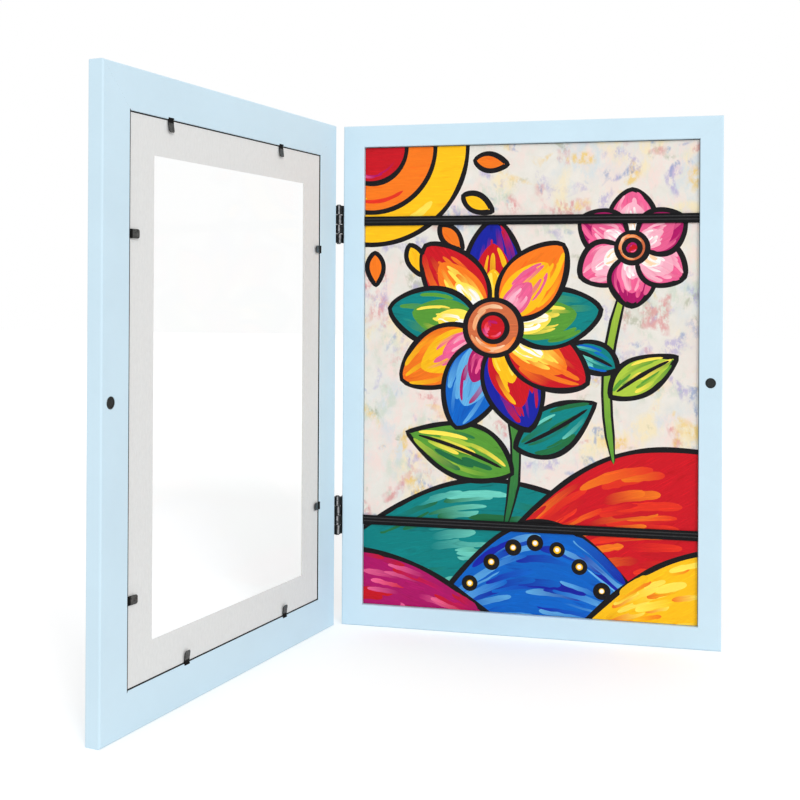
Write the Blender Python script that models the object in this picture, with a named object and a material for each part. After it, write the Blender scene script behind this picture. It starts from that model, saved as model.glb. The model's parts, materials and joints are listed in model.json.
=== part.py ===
"""Front-opening wall frame for drawings: a shallow tray, and a glazed door hinged on its left side.

Lengths are in metres, +Z is up. The origin is the middle of the tray's bottom face, and the tray's
open side faces -Y. Both halves are drawn with the door shut, in hinge coordinates: X runs from the
pin's axis towards the latch side, Y from the door back into the tray, Z up from the floor.
"""

import math

import bmesh
import bpy
from mathutils import Matrix, Vector

# Drawings that the frame is made for
PAPER_WIDTH = 0.210
PAPER_HEIGHT = 0.297
PAPER_PLAY = 0.0005
SHEET_THICKNESS = 0.0004
SHEET_SINK = 0.0028

# Gaps between the pieces
SEAT_GAP = 0.0003
MITRE_GAP = 0.0002
CLOSING_GAP = 0.0006
CUT_OVERRUN = 0.002

# Tray rails and the board behind
BOX_RAIL_WIDTH = 0.0138
BOX_DEPTH = 0.020
BACK_REBATE_WIDTH = 0.005
BACK_BOARD_THICKNESS = 0.003
BACK_BOARD_SINK = 0.001

# Door rails, glazing and mat
DOOR_THICKNESS = 0.009
DOOR_RAIL_WIDTH = 0.0215
SIGHT_LIP_WIDTH = 0.005
SIGHT_LIP_THICKNESS = 0.0039
GLAZING_THICKNESS = 0.0020
MAT_THICKNESS = 0.0015
MAT_SIDE_BORDER = 0.0198
MAT_END_BORDER = 0.0192
PANE_PLAY = 0.0006

# Softened edges
EDGE_ROUND = 0.0010
INNER_EDGE_ROUND = 0.0005
ROUND_STEPS = 3

# Pose of the door, measured from shut
DOOR_OPEN_DEGREES = 102

# Hinges: leaves, knuckles and pins
PIN_OFFSET = 0.0030
PIN_RADIUS = 0.0009
PIN_HEAD_RADIUS = 0.0015
PIN_HEAD_HEIGHT = 0.0005
KNUCKLE_RADIUS = 0.0022
KNUCKLE_COUNT = 4
HINGE_LENGTH = 0.0245
UPPER_HINGE_DROP = 0.0640
LOWER_HINGE_RISE = 0.0713
LEAF_REACH = 0.0082
LEAF_THICKNESS = 0.0009
LEAF_ROUND = 0.0010

# Countersunk screws of the hinges
SCREW_LENGTH = 0.0070
SCREW_HEAD_RADIUS = 0.0016
SCREW_SHANK_RADIUS = 0.00075
SCREW_TIP_LENGTH = 0.0015
SCREW_TIP_RADIUS = 0.0002
SCREW_RIM = 0.0001
SCREW_SPACING = 0.0130
DRIVE_ARM = 0.0009
DRIVE_SLOT = 0.0004
DRIVE_DEPTH = 0.0005

# Flexible tabs that hold the mat and the glazing
TAB_REACH = 0.0066
TAB_WIDTH = 0.0046
TAB_THICKNESS = 0.0006
TAB_ROUND = 0.0012
TAB_TONGUE = 0.0007
TAB_LIFT_DEGREES = 5
TAB_TOP_SHARES = (0.30, 0.77)
TAB_BOTTOM_SHARES = (0.27, 0.70)
TAB_HINGE_SIDE_SHARES = (0.25, 0.75)
TAB_LATCH_SIDE_SHARES = (0.20, 0.75)

# Magnets that hold the door shut
MAGNET_RADIUS = 0.0030
MAGNET_THICKNESS = 0.0025
MAGNET_PROUD = 0.00015
MAGNET_INSET = 0.0070
MAGNET_CHAMFER = 0.0003
MAGNET_HEIGHT_SHARE = 0.5

# Elastic bands across the tray
BAND_WIDTH = 0.0060
BAND_THICKNESS = 0.0009
BAND_RIB_COUNT = 3
BAND_GROOVE_DEPTH = 0.0002
BAND_GROOVE_WIDTH = 0.0004
BAND_ANCHOR = 0.0050
BAND_SLOT_PLAY = 0.0007
UPPER_BAND_DROP = 0.0620
LOWER_BAND_RISE = 0.0690

# Nails: across the mitres, through the board behind and through the hangers
CORNER_NAIL_WING = 0.0060
CORNER_NAIL_THICKNESS = 0.0006
BOX_CORNER_NAIL_LENGTH = 0.0070
BOX_CORNER_NAIL_SINK = 0.0003
DOOR_CORNER_NAIL_INSET = 0.0080
DOOR_CORNER_NAIL_LENGTH = 0.0045
NAIL_SHANK_RADIUS = 0.0006
NAIL_HEAD_RADIUS = 0.0015
NAIL_HEAD_THICKNESS = 0.0005
NAIL_TIP_LENGTH = 0.0012
NAIL_TIP_RADIUS = 0.0001
BRAD_LENGTH = 0.0100
BRAD_HEIGHT_SHARES = (0.25, 0.75)
BRAD_WIDTH_SHARE = 0.5
HANGER_NAIL_LENGTH = 0.0080

# Sawtooth hangers on the back
HANGER_LENGTH = 0.0340
HANGER_WIDTH = 0.0070
HANGER_THICKNESS = 0.0007
HANGER_BOW = 0.0015
HANGER_FOOT = 0.0060
HANGER_TOOTH_DEPTH = 0.0014
HANGER_TOOTH_COUNT = 8
HANGER_PLACE_SHARE = 0.5

# Sides of round pieces
FINE_SIDES = 32
KNUCKLE_SIDES = 24
SMALL_SIDES = 16
SMOOTH_DEGREES = 35

# Sizes that follow
FRAME_WIDTH = PAPER_WIDTH + 2 * (PAPER_PLAY + BOX_RAIL_WIDTH)
FRAME_HEIGHT = PAPER_HEIGHT + 2 * (PAPER_PLAY + BOX_RAIL_WIDTH)
HINGE_EDGE = PIN_OFFSET
LATCH_EDGE = HINGE_EDGE + FRAME_WIDTH
BOX_FRONT = CLOSING_GAP / 2
BOX_BACK = BOX_FRONT + BOX_DEPTH
DOOR_INNER = -CLOSING_GAP / 2
BACK_REBATE_DEPTH = BACK_BOARD_THICKNESS + SEAT_GAP + BACK_BOARD_SINK
BOX_BACK_WIDTH = BOX_RAIL_WIDTH - BACK_REBATE_WIDTH
GLAZING_REBATE_DEPTH = DOOR_THICKNESS - SIGHT_LIP_THICKNESS
GLAZING_OUTER = DOOR_INNER - GLAZING_REBATE_DEPTH + SEAT_GAP
GLAZING_INNER = GLAZING_OUTER + GLAZING_THICKNESS
MAT_OUTER = GLAZING_INNER + SEAT_GAP
MAT_INNER = MAT_OUTER + MAT_THICKNESS
TAB_AXIS_Y = MAT_INNER + SEAT_GAP + TAB_THICKNESS / 2
SHEET_FRONT = BOX_FRONT + SHEET_SINK
BAND_BACK = SHEET_FRONT - SEAT_GAP
STACK_FRONT = SHEET_FRONT + SHEET_THICKNESS + SEAT_GAP
BACK_BOARD_FRONT = BOX_BACK - BACK_BOARD_SINK - BACK_BOARD_THICKNESS
KNUCKLE_BORE_RADIUS = PIN_RADIUS + SEAT_GAP
KNUCKLE_LENGTH = (HINGE_LENGTH - (KNUCKLE_COUNT - 1) * SEAT_GAP) / KNUCKLE_COUNT
LEAF_INNER = PIN_OFFSET - SEAT_GAP
LEAF_OUTER = LEAF_INNER - LEAF_THICKNESS
BOX_CORNER_NAIL_INSET = BOX_BACK_WIDTH / 2
HINGE_HEIGHTS = {"upper": FRAME_HEIGHT - UPPER_HINGE_DROP, "lower": LOWER_HINGE_RISE}
BAND_HEIGHTS = {"upper": FRAME_HEIGHT - UPPER_BAND_DROP, "lower": LOWER_BAND_RISE}

# Looks as (red, green, blue, roughness, metallic)
PAINT = (0.60, 0.80, 0.89, 0.38, 0.0)
GLAZING = (0.95, 0.98, 0.98, 0.05, 0.0)
MAT_BOARD = (0.73, 0.73, 0.71, 0.80, 0.0)
TAB_STEEL = (0.10, 0.10, 0.10, 0.35, 0.9)
BLACK_METAL = (0.02, 0.02, 0.02, 0.25, 0.8)
MAGNET_METAL = (0.03, 0.03, 0.04, 0.40, 0.7)
ELASTIC = (0.02, 0.02, 0.022, 0.85, 0.0)
PAPER = (0.86, 0.84, 0.78, 0.85, 0.0)
PAINTED_PAPER = (0.88, 0.80, 0.70, 0.65, 0.0)
FIBRE_BOARD = (0.34, 0.24, 0.15, 0.80, 0.0)
BRIGHT_STEEL = (0.55, 0.55, 0.56, 0.30, 1.0)
GLAZING_ALPHA = 0.35


def clear_scene():
    """Takes every object out of the scene."""
    for leftover in list(bpy.data.objects):
        bpy.data.objects.remove(leftover, do_unlink=True)


def lofted(rings):
    """Closed solid through rings of points, with a flat face over the first and the last."""
    solid = bmesh.new()
    loops = [[solid.verts.new(point) for point in ring] for ring in rings]
    for first, second in zip(loops, loops[1:]):
        for index in range(len(first)):
            solid.faces.new((first[index - 1], first[index], second[index], second[index - 1]))
    solid.faces.new(loops[0])
    solid.faces.new(loops[-1])
    bmesh.ops.recalc_face_normals(solid, faces=solid.faces)
    return solid


def prism(outline, low, high):
    """Solid of an outline of (x, y) points between two heights."""
    return lofted([[(x, y, height) for x, y in outline] for height in (low, high)])


def block(low, high):
    """Box between its lowest and highest corners."""
    outline = [(low[0], low[1]), (high[0], low[1]), (high[0], high[1]), (low[0], high[1])]
    return prism(outline, low[2], high[2])


def turned(profile, sides):
    """Round solid about Z through (radius, height) points, flat at both ends."""
    rings = []
    for radius, height in profile:
        angles = [math.tau * side / sides for side in range(sides)]
        rings.append([(radius * math.cos(angle), radius * math.sin(angle), height) for angle in angles])
    return lofted(rings)


def rounded(corners):
    """Outline through (x, y, radius) corners, each turned into an arc of its radius."""
    outline = []
    for index, (x, y, radius) in enumerate(corners):
        corner = Vector((x, y))
        if radius <= 0:
            outline.append((x, y))
            continue
        before = (Vector(corners[index - 1][:2]) - corner).normalized()
        after = (Vector(corners[(index + 1) % len(corners)][:2]) - corner).normalized()
        half_turn = before.angle(after) / 2
        centre = corner + (before + after).normalized() * (radius / math.sin(half_turn))
        start = corner + before * (radius / math.tan(half_turn)) - centre
        end = corner + after * (radius / math.tan(half_turn)) - centre
        sweep = math.atan2(start.cross(end), start.dot(end))
        for step in range(ROUND_STEPS + 1):
            spoke = Matrix.Rotation(sweep * step / ROUND_STEPS, 2) @ start
            outline.append(tuple(centre + spoke))
    return outline


def moved(solid, matrix):
    """The same solid, placed by a matrix."""
    solid.transform(matrix)
    return solid


def combined(solid, others, operation):
    """Boolean of a solid with others that don't meet one another."""
    pieces = []
    for number, shapes in enumerate(([solid], others)):
        mesh = bpy.data.meshes.new(f"boolean_{number}")
        joined = bmesh.new()
        for shape in shapes:
            shape.to_mesh(mesh)
            joined.from_mesh(mesh)
            shape.free()
        joined.to_mesh(mesh)
        joined.free()
        piece = bpy.data.objects.new(f"boolean_{number}", mesh)
        bpy.context.scene.collection.objects.link(piece)
        pieces.append(piece)
    target, tool = pieces
    boolean = target.modifiers.new("boolean", "BOOLEAN")
    boolean.operation = operation
    boolean.object = tool
    graph = bpy.context.evaluated_depsgraph_get()
    result_mesh = bpy.data.meshes.new_from_object(target.evaluated_get(graph))
    result = bmesh.new()
    result.from_mesh(result_mesh)
    bpy.data.meshes.remove(result_mesh)
    for piece in pieces:
        mesh = piece.data
        bpy.data.objects.remove(piece)
        bpy.data.meshes.remove(mesh)
    return result


def carved(solid, cutters):
    """Solid with the cutters taken out of it."""
    return combined(solid, cutters, "DIFFERENCE") if cutters else solid


def finished(piece, look):
    """Gives an object its own material."""
    red, green, blue, roughness, metallic = look
    material = bpy.data.materials.new(f"{piece.name}_finish")
    material.use_nodes = True
    shader = material.node_tree.nodes["Principled BSDF"]
    shader.inputs["Base Color"].default_value = (red, green, blue, 1.0)
    shader.inputs["Roughness"].default_value = roughness
    shader.inputs["Metallic"].default_value = metallic
    if look is GLAZING:
        shader.inputs["Alpha"].default_value = GLAZING_ALPHA
        material.surface_render_method = "BLENDED"
    material.diffuse_color = (red, green, blue, 1.0)
    piece.data.materials.append(material)


def added(name, solid, look, parent, matrix=None):
    """Makes a named object of a solid, under a parent, in its own material."""
    mesh = bpy.data.meshes.new(name)
    solid.to_mesh(mesh)
    solid.free()
    piece = bpy.data.objects.new(name, mesh)
    bpy.context.scene.collection.objects.link(piece)
    piece.parent = parent
    if matrix is not None:
        piece.matrix_local = matrix
    mesh.shade_smooth()
    mesh.set_sharp_from_angle(angle=math.radians(SMOOTH_DEGREES))
    finished(piece, look)
    return piece


def guide(name, location, turn):
    """Empty that carries one half of the frame."""
    empty = bpy.data.objects.new(name, None)
    bpy.context.scene.collection.objects.link(empty)
    empty.location = location
    empty.rotation_euler = (0, 0, turn)
    return empty


def along(direction, start):
    """Matrix that stands a solid's +Z along a direction, from a start point."""
    turn = Vector(direction).to_track_quat("Z", "Y").to_matrix().to_4x4()
    return Matrix.Translation(start) @ turn


# Rails


def rail_point(side, far_end, inset, depth_y):
    """Point of a rail's mitre face, at an inset from the frame's outer edge."""
    clear = inset + MITRE_GAP / math.sqrt(2)
    if side in ("bottom", "top"):
        x = LATCH_EDGE - clear if far_end else HINGE_EDGE + clear
        z = inset if side == "bottom" else FRAME_HEIGHT - inset
    else:
        x = HINGE_EDGE + inset if side == "hinge" else LATCH_EDGE - inset
        z = FRAME_HEIGHT - clear if far_end else clear
    return (x, depth_y, z)


def mitred_rail(side, section):
    """Rail whose section is an outline of (inset, y) points, mitred at both ends."""
    ends = [[rail_point(side, far_end, *point) for point in section] for far_end in (False, True)]
    return lofted(ends)


def box_section():
    """Section of the tray's rails, with the rebate for the board behind."""
    rebate_y = BOX_BACK - BACK_REBATE_DEPTH
    return rounded([
        (0, BOX_FRONT, EDGE_ROUND),
        (BOX_RAIL_WIDTH, BOX_FRONT, INNER_EDGE_ROUND),
        (BOX_RAIL_WIDTH, rebate_y, 0),
        (BOX_BACK_WIDTH, rebate_y, 0),
        (BOX_BACK_WIDTH, BOX_BACK, 0),
        (0, BOX_BACK, EDGE_ROUND),
    ])


def door_section():
    """Section of the door's rails, with the rebate for the glazing and the mat."""
    outer_y = DOOR_INNER - DOOR_THICKNESS
    rebate_y = DOOR_INNER - GLAZING_REBATE_DEPTH
    sight = DOOR_RAIL_WIDTH + SIGHT_LIP_WIDTH
    return rounded([
        (0, DOOR_INNER, EDGE_ROUND),
        (0, outer_y, EDGE_ROUND),
        (sight, outer_y, EDGE_ROUND),
        (sight, rebate_y, INNER_EDGE_ROUND),
        (DOOR_RAIL_WIDTH, rebate_y, 0),
        (DOOR_RAIL_WIDTH, DOOR_INNER, INNER_EDGE_ROUND),
    ])


# Nails, screws and magnets, each with the cut that holds it


def corner_nail(corner, inset, low_y, high_y, grow):
    """V-nail across one mitre, its wings along the two rails, grown on every side for its cut."""
    at_latch, at_top = corner
    half = CORNER_NAIL_THICKNESS / 2 + grow
    near, far = inset - half, inset + CORNER_NAIL_WING + grow
    reach = inset + half
    outline = [(near, near), (far, near), (far, reach), (reach, reach), (reach, far), (near, far)]
    placed = []
    for across, up in outline:
        x = LATCH_EDGE - across if at_latch else HINGE_EDGE + across
        z = FRAME_HEIGHT - up if at_top else up
        placed.append((x, z))
    return lofted([[(x, y, z) for x, z in placed] for y in (low_y - grow, high_y + grow)])


def corners_of(side):
    """The two corners (at the latch side, at the top) that a rail meets."""
    if side in ("bottom", "top"):
        return [(False, side == "top"), (True, side == "top")]
    return [(side == "latch", False), (side == "latch", True)]


def box_corner_nail(corner, grow=0.0):
    """V-nail driven into the tray's corner from behind."""
    high_y = BOX_BACK - BOX_CORNER_NAIL_SINK
    return corner_nail(corner, BOX_CORNER_NAIL_INSET, high_y - BOX_CORNER_NAIL_LENGTH, high_y, grow)


def door_corner_nail(corner, grow=0.0):
    """V-nail hidden in the door's corner, half way through its thickness."""
    middle_y = DOOR_INNER - DOOR_THICKNESS / 2
    half = DOOR_CORNER_NAIL_LENGTH / 2
    return corner_nail(corner, DOOR_CORNER_NAIL_INSET, middle_y - half, middle_y + half, grow)


def nail(length):
    """Headed nail that points along -Z, its head's underside at zero."""
    return turned([
        (NAIL_TIP_RADIUS, -length),
        (NAIL_SHANK_RADIUS, -length + NAIL_TIP_LENGTH),
        (NAIL_SHANK_RADIUS, 0),
        (NAIL_HEAD_RADIUS, 0),
        (NAIL_HEAD_RADIUS, NAIL_HEAD_THICKNESS),
    ], SMALL_SIDES)


def nail_hole(length):
    """Cut for a nail's shank."""
    radius = NAIL_SHANK_RADIUS + SEAT_GAP
    return turned([(radius, -length - SEAT_GAP), (radius, CUT_OVERRUN)], SMALL_SIDES)


def screw():
    """Countersunk screw that points along -Z, its head's top at zero."""
    neck = SCREW_HEAD_RADIUS - SCREW_SHANK_RADIUS + SCREW_RIM
    body = turned([
        (SCREW_TIP_RADIUS, -SCREW_LENGTH),
        (SCREW_SHANK_RADIUS, -SCREW_LENGTH + SCREW_TIP_LENGTH),
        (SCREW_SHANK_RADIUS, -neck),
        (SCREW_HEAD_RADIUS, -SCREW_RIM),
        (SCREW_HEAD_RADIUS, 0),
    ], SMALL_SIDES)
    arm, half = DRIVE_ARM, DRIVE_SLOT / 2
    cross = [
        (arm, -half), (arm, half), (half, half), (half, arm), (-half, arm), (-half, half),
        (-arm, half), (-arm, -half), (-half, -half), (-half, -arm), (half, -arm), (half, -half),
    ]
    return carved(body, [prism(cross, -DRIVE_DEPTH, CUT_OVERRUN)])


def screw_hole():
    """Cut for a screw: its shank's hole, and a cone for its head that widens outwards."""
    shank = SCREW_SHANK_RADIUS + SEAT_GAP
    head = SCREW_HEAD_RADIUS + SEAT_GAP * math.sqrt(2)
    return turned([
        (shank, -SCREW_LENGTH - SEAT_GAP),
        (shank, shank - head),
        (head, 0),
        (head + CUT_OVERRUN, CUT_OVERRUN),
    ], SMALL_SIDES)


def magnet():
    """Round magnet with a softened rim, its face at zero, its body along -Z."""
    return turned([
        (MAGNET_RADIUS, -MAGNET_THICKNESS),
        (MAGNET_RADIUS, -MAGNET_CHAMFER),
        (MAGNET_RADIUS - MAGNET_CHAMFER, 0),
    ], FINE_SIDES)


def magnet_pocket():
    """Cut for a magnet."""
    radius = MAGNET_RADIUS + SEAT_GAP
    return turned([(radius, -MAGNET_THICKNESS - SEAT_GAP), (radius, CUT_OVERRUN)], FINE_SIDES)


def magnet_place(face_y, outwards):
    """Where a magnet's face stands, a little proud of its half's mating face."""
    x = LATCH_EDGE - MAGNET_INSET
    z = FRAME_HEIGHT * MAGNET_HEIGHT_SHARE
    return along((0, outwards, 0), (x, face_y + outwards * MAGNET_PROUD, z))


# Hinges


def screw_places(upwards, into_y):
    """Where one leaf's screws stand, in hinge coordinates, pointing into the stile."""
    y = into_y * (leaf_edge() + LEAF_REACH) / 2
    heights = (upwards - SCREW_SPACING / 2, upwards + SCREW_SPACING / 2)
    return [along((-1, 0, 0), (LEAF_OUTER, y, z)) for z in heights]


def leaf_edge():
    """How far from the mating plane a leaf starts, clear of the other leaf's knuckles."""
    clear = KNUCKLE_RADIUS + SEAT_GAP
    return math.sqrt(max(clear * clear - LEAF_OUTER * LEAF_OUTER, 0))


def knuckle_outline():
    """Outline of a knuckle with the strip of leaf that curls into it."""
    meeting = math.acos(LEAF_OUTER / KNUCKLE_RADIUS)
    sweep = math.tau - meeting
    arc = []
    for step in range(KNUCKLE_SIDES + 1):
        angle = -sweep * step / KNUCKLE_SIDES
        arc.append((KNUCKLE_RADIUS * math.cos(angle), KNUCKLE_RADIUS * math.sin(angle)))
    joined_y = (leaf_edge() + LEAF_REACH) / 2
    return [(LEAF_INNER, joined_y), (LEAF_INNER, 0)] + arc + [(LEAF_OUTER, joined_y)]


def hinge_leaf(first_knuckle, into_y, middle_z):
    """Leaf on one half's hinge stile, with every other knuckle of the hinge."""
    half = HINGE_LENGTH / 2
    plate_outline = rounded([
        (leaf_edge(), -half, 0),
        (LEAF_REACH, -half, LEAF_ROUND),
        (LEAF_REACH, half, LEAF_ROUND),
        (leaf_edge(), half, 0),
    ])
    leaf = lofted([[(x, y, z) for y, z in plate_outline] for x in (LEAF_OUTER, LEAF_INNER)])
    knuckles = []
    for index in range(first_knuckle, KNUCKLE_COUNT, 2):
        top = half - index * (KNUCKLE_LENGTH + SEAT_GAP)
        knuckles.append(prism(knuckle_outline(), top - KNUCKLE_LENGTH, top))
    leaf = combined(leaf, knuckles, "UNION")
    bore = [(KNUCKLE_BORE_RADIUS, -half - CUT_OVERRUN), (KNUCKLE_BORE_RADIUS, half + CUT_OVERRUN)]
    leaf = carved(leaf, [turned(bore, KNUCKLE_SIDES)])
    mirror = Matrix.Scale(into_y, 4, (0, 1, 0))
    leaf = moved(leaf, Matrix.Translation((0, 0, middle_z)) @ mirror)
    bmesh.ops.recalc_face_normals(leaf, faces=leaf.faces)
    return carved(leaf, [moved(screw_hole(), place) for place in screw_places(middle_z, into_y)])


def hinge_pin():
    """Pin through a hinge's knuckles, riveted over at both ends."""
    shoulder = HINGE_LENGTH / 2 + SEAT_GAP
    end = shoulder + PIN_HEAD_HEIGHT
    return turned([
        (PIN_RADIUS, -end),
        (PIN_HEAD_RADIUS, -shoulder - PIN_HEAD_HEIGHT / 2),
        (PIN_HEAD_RADIUS, -shoulder),
        (PIN_RADIUS, -shoulder),
        (PIN_RADIUS, shoulder),
        (PIN_HEAD_RADIUS, shoulder),
        (PIN_HEAD_RADIUS, shoulder + PIN_HEAD_HEIGHT / 2),
        (PIN_RADIUS, end),
    ], SMALL_SIDES)


def hinge_screw_holes(into_y):
    """Cuts for the screws of both hinges in one half's hinge stile."""
    places = [place for z in HINGE_HEIGHTS.values() for place in screw_places(z, into_y)]
    return [moved(screw_hole(), place) for place in places]


# Flexible tabs


def tab_places():
    """Every tab's name, rail and place: +X lies over the mat, +Z is the line that it bends on."""
    wall_x = {"hinge": HINGE_EDGE + DOOR_RAIL_WIDTH, "latch": LATCH_EDGE - DOOR_RAIL_WIDTH}
    wall_z = {"bottom": DOOR_RAIL_WIDTH, "top": FRAME_HEIGHT - DOOR_RAIL_WIDTH}
    rows = [
        ("tab_top", "top", TAB_TOP_SHARES, (0, 0, -1)),
        ("tab_bottom", "bottom", TAB_BOTTOM_SHARES, (0, 0, 1)),
        ("tab_hinge_side", "hinge", TAB_HINGE_SIDE_SHARES, (1, 0, 0)),
        ("tab_latch_side", "latch", TAB_LATCH_SIDE_SHARES, (-1, 0, 0)),
    ]
    places = []
    for name, side, shares, direction in rows:
        for number, share in enumerate(shares, start=1):
            x = wall_x.get(side, HINGE_EDGE + FRAME_WIDTH * share)
            z = wall_z.get(side, FRAME_HEIGHT * share)
            forward, away = Vector(direction), Vector((0, 1, 0))
            turn = Matrix((forward, away, forward.cross(away))).transposed().to_4x4()
            place = Matrix.Translation((x, TAB_AXIS_Y, z)) @ turn
            places.append((f"{name}_{number}", side, place))
    return places


def tab():
    """Flat steel tab: a blade with rounded tip corners, and a short tongue in the rail."""
    half = TAB_WIDTH / 2
    outline = rounded([
        (-TAB_TONGUE, -half, 0),
        (TAB_REACH, -half, TAB_ROUND),
        (TAB_REACH, half, TAB_ROUND),
        (-TAB_TONGUE, half, 0),
    ])
    faces = (-TAB_THICKNESS / 2, TAB_THICKNESS / 2)
    return lofted([[(x, y, z) for x, z in outline] for y in faces])


def tab_notch():
    """Cut in the rebate's inner edge that leaves a tab's tongue room to turn by a right angle."""
    half = TAB_WIDTH / 2 + SEAT_GAP
    reach = TAB_TONGUE + SEAT_GAP
    low = (-reach, -reach, -half)
    high = (CUT_OVERRUN, DOOR_INNER - TAB_AXIS_Y + CUT_OVERRUN, half)
    return block(low, high)


# Panes, paper and bands


def pane(border, low_y, high_y):
    """Flat sheet that leaves a border to the frame's outer edge on every side."""
    low = (HINGE_EDGE + border, low_y, border)
    high = (LATCH_EDGE - border, high_y, FRAME_HEIGHT - border)
    return block(low, high)


def mat():
    """Mat board whose window widens towards the glazing at forty-five degrees."""
    border = DOOR_RAIL_WIDTH + PANE_PLAY
    window = []
    for y in (MAT_OUTER - MAT_THICKNESS, MAT_INNER + MAT_THICKNESS):
        side = border + MAT_SIDE_BORDER - (MAT_INNER - y)
        end = border + MAT_END_BORDER - (MAT_INNER - y)
        low_x, high_x = HINGE_EDGE + side, LATCH_EDGE - side
        low_z, high_z = end, FRAME_HEIGHT - end
        window.append([(low_x, y, low_z), (high_x, y, low_z), (high_x, y, high_z), (low_x, y, high_z)])
    return carved(pane(border, MAT_OUTER, MAT_INNER), [lofted(window)])


def paper(low_y, high_y):
    """Sheets that stand on the tray's bottom rail."""
    side = (FRAME_WIDTH - PAPER_WIDTH) / 2
    foot = BOX_RAIL_WIDTH + SEAT_GAP
    low = (HINGE_EDGE + side, low_y, foot)
    high = (LATCH_EDGE - side, high_y, foot + PAPER_HEIGHT)
    return block(low, high)


def band(middle_z):
    """Elastic band with lengthwise ribs, its ends in the stiles' slots."""
    pitch = BAND_WIDTH / BAND_RIB_COUNT
    front = BAND_BACK - BAND_THICKNESS
    low = middle_z - BAND_WIDTH / 2
    section = [(BAND_BACK, low), (front, low)]
    for groove in range(1, BAND_RIB_COUNT):
        z = low + groove * pitch
        section.append((front, z - BAND_GROOVE_WIDTH / 2))
        section.append((front + BAND_GROOVE_DEPTH, z))
        section.append((front, z + BAND_GROOVE_WIDTH / 2))
    section += [(front, low + BAND_WIDTH), (BAND_BACK, low + BAND_WIDTH)]
    ends = (HINGE_EDGE + BOX_RAIL_WIDTH - BAND_ANCHOR, LATCH_EDGE - BOX_RAIL_WIDTH + BAND_ANCHOR)
    return lofted([[(x, y, z) for y, z in section] for x in ends])


def band_slots(side):
    """Cuts for the bands' ends in one stile's inner wall."""
    deep = BAND_ANCHOR + SEAT_GAP
    if side == "hinge":
        wall = HINGE_EDGE + BOX_RAIL_WIDTH
        low_x, high_x = wall - deep, wall + CUT_OVERRUN
    else:
        wall = LATCH_EDGE - BOX_RAIL_WIDTH
        low_x, high_x = wall - CUT_OVERRUN, wall + deep
    half = BAND_WIDTH / 2 + BAND_SLOT_PLAY
    low_y, high_y = BAND_BACK - BAND_THICKNESS - SEAT_GAP, BAND_BACK + SEAT_GAP
    return [block((low_x, low_y, z - half), (high_x, high_y, z + half)) for z in BAND_HEIGHTS.values()]


# Fastenings behind


def brad_places():
    """Rail and place of every brad through the board behind."""
    inset = BOX_RAIL_WIDTH - BACK_REBATE_WIDTH / 2
    y = BOX_BACK - BACK_BOARD_SINK + SEAT_GAP
    middle = HINGE_EDGE + FRAME_WIDTH * BRAD_WIDTH_SHARE
    spots = [("bottom", middle, inset), ("top", middle, FRAME_HEIGHT - inset)]
    for share in BRAD_HEIGHT_SHARES:
        spots.append(("hinge", HINGE_EDGE + inset, FRAME_HEIGHT * share))
        spots.append(("latch", LATCH_EDGE - inset, FRAME_HEIGHT * share))
    return [(side, along((0, 1, 0), (x, y, z))) for side, x, z in spots]


def hanger_places():
    """Name, rail and place of both hangers: +X along the rail, +Y to the wall, -Z to the middle."""
    y = BOX_BACK + SEAT_GAP
    inset = BOX_BACK_WIDTH / 2
    across = Matrix.Rotation(math.radians(90), 4, "Y")
    middle_x = HINGE_EDGE + FRAME_WIDTH * HANGER_PLACE_SHARE
    middle_z = FRAME_HEIGHT * HANGER_PLACE_SHARE
    return [
        ("hanger_portrait", "top", Matrix.Translation((middle_x, y, FRAME_HEIGHT - inset))),
        ("hanger_landscape", "latch", Matrix.Translation((LATCH_EDGE - inset, y, middle_z)) @ across),
    ]


def hanger_nail_places():
    """Hanger's rail and the place of each of its nails, in hinge coordinates."""
    from_middle = (HANGER_LENGTH - HANGER_FOOT) / 2
    places = []
    for _, side, place in hanger_places():
        for x in (-from_middle, from_middle):
            head = Matrix.Translation((x, HANGER_THICKNESS + SEAT_GAP, 0))
            places.append((side, place @ head @ along((0, 1, 0), (0, 0, 0))))
    return places


def hanger():
    """Sawtooth hanger: flat feet, a bowed middle and teeth along its lower edge."""
    half = HANGER_LENGTH / 2
    span = HANGER_LENGTH - 2 * HANGER_FOOT
    pitch = span / HANGER_TOOTH_COUNT
    stations = [(-half, 0)]
    for step in range(2 * HANGER_TOOTH_COUNT + 1):
        x = -span / 2 + step * pitch / 2
        stations.append((x, HANGER_TOOTH_DEPTH if step % 2 else 0))
    stations.append((half, 0))
    rings = []
    for x, notch in stations:
        bow = HANGER_BOW * max(math.cos(math.pi * x / span), 0) if abs(x) < span / 2 else 0
        back = bow + HANGER_THICKNESS
        low = -HANGER_WIDTH / 2 + notch
        high = HANGER_WIDTH / 2
        rings.append([(x, bow, high), (x, back, high), (x, back, low), (x, bow, low)])
    holes = []
    from_middle = (HANGER_LENGTH - HANGER_FOOT) / 2
    for x in (-from_middle, from_middle):
        place = along((0, 1, 0), (x, 0, 0))
        holes.append(moved(nail_hole(CUT_OVERRUN), place))
    return carved(lofted(rings), holes)


# The two halves


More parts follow.
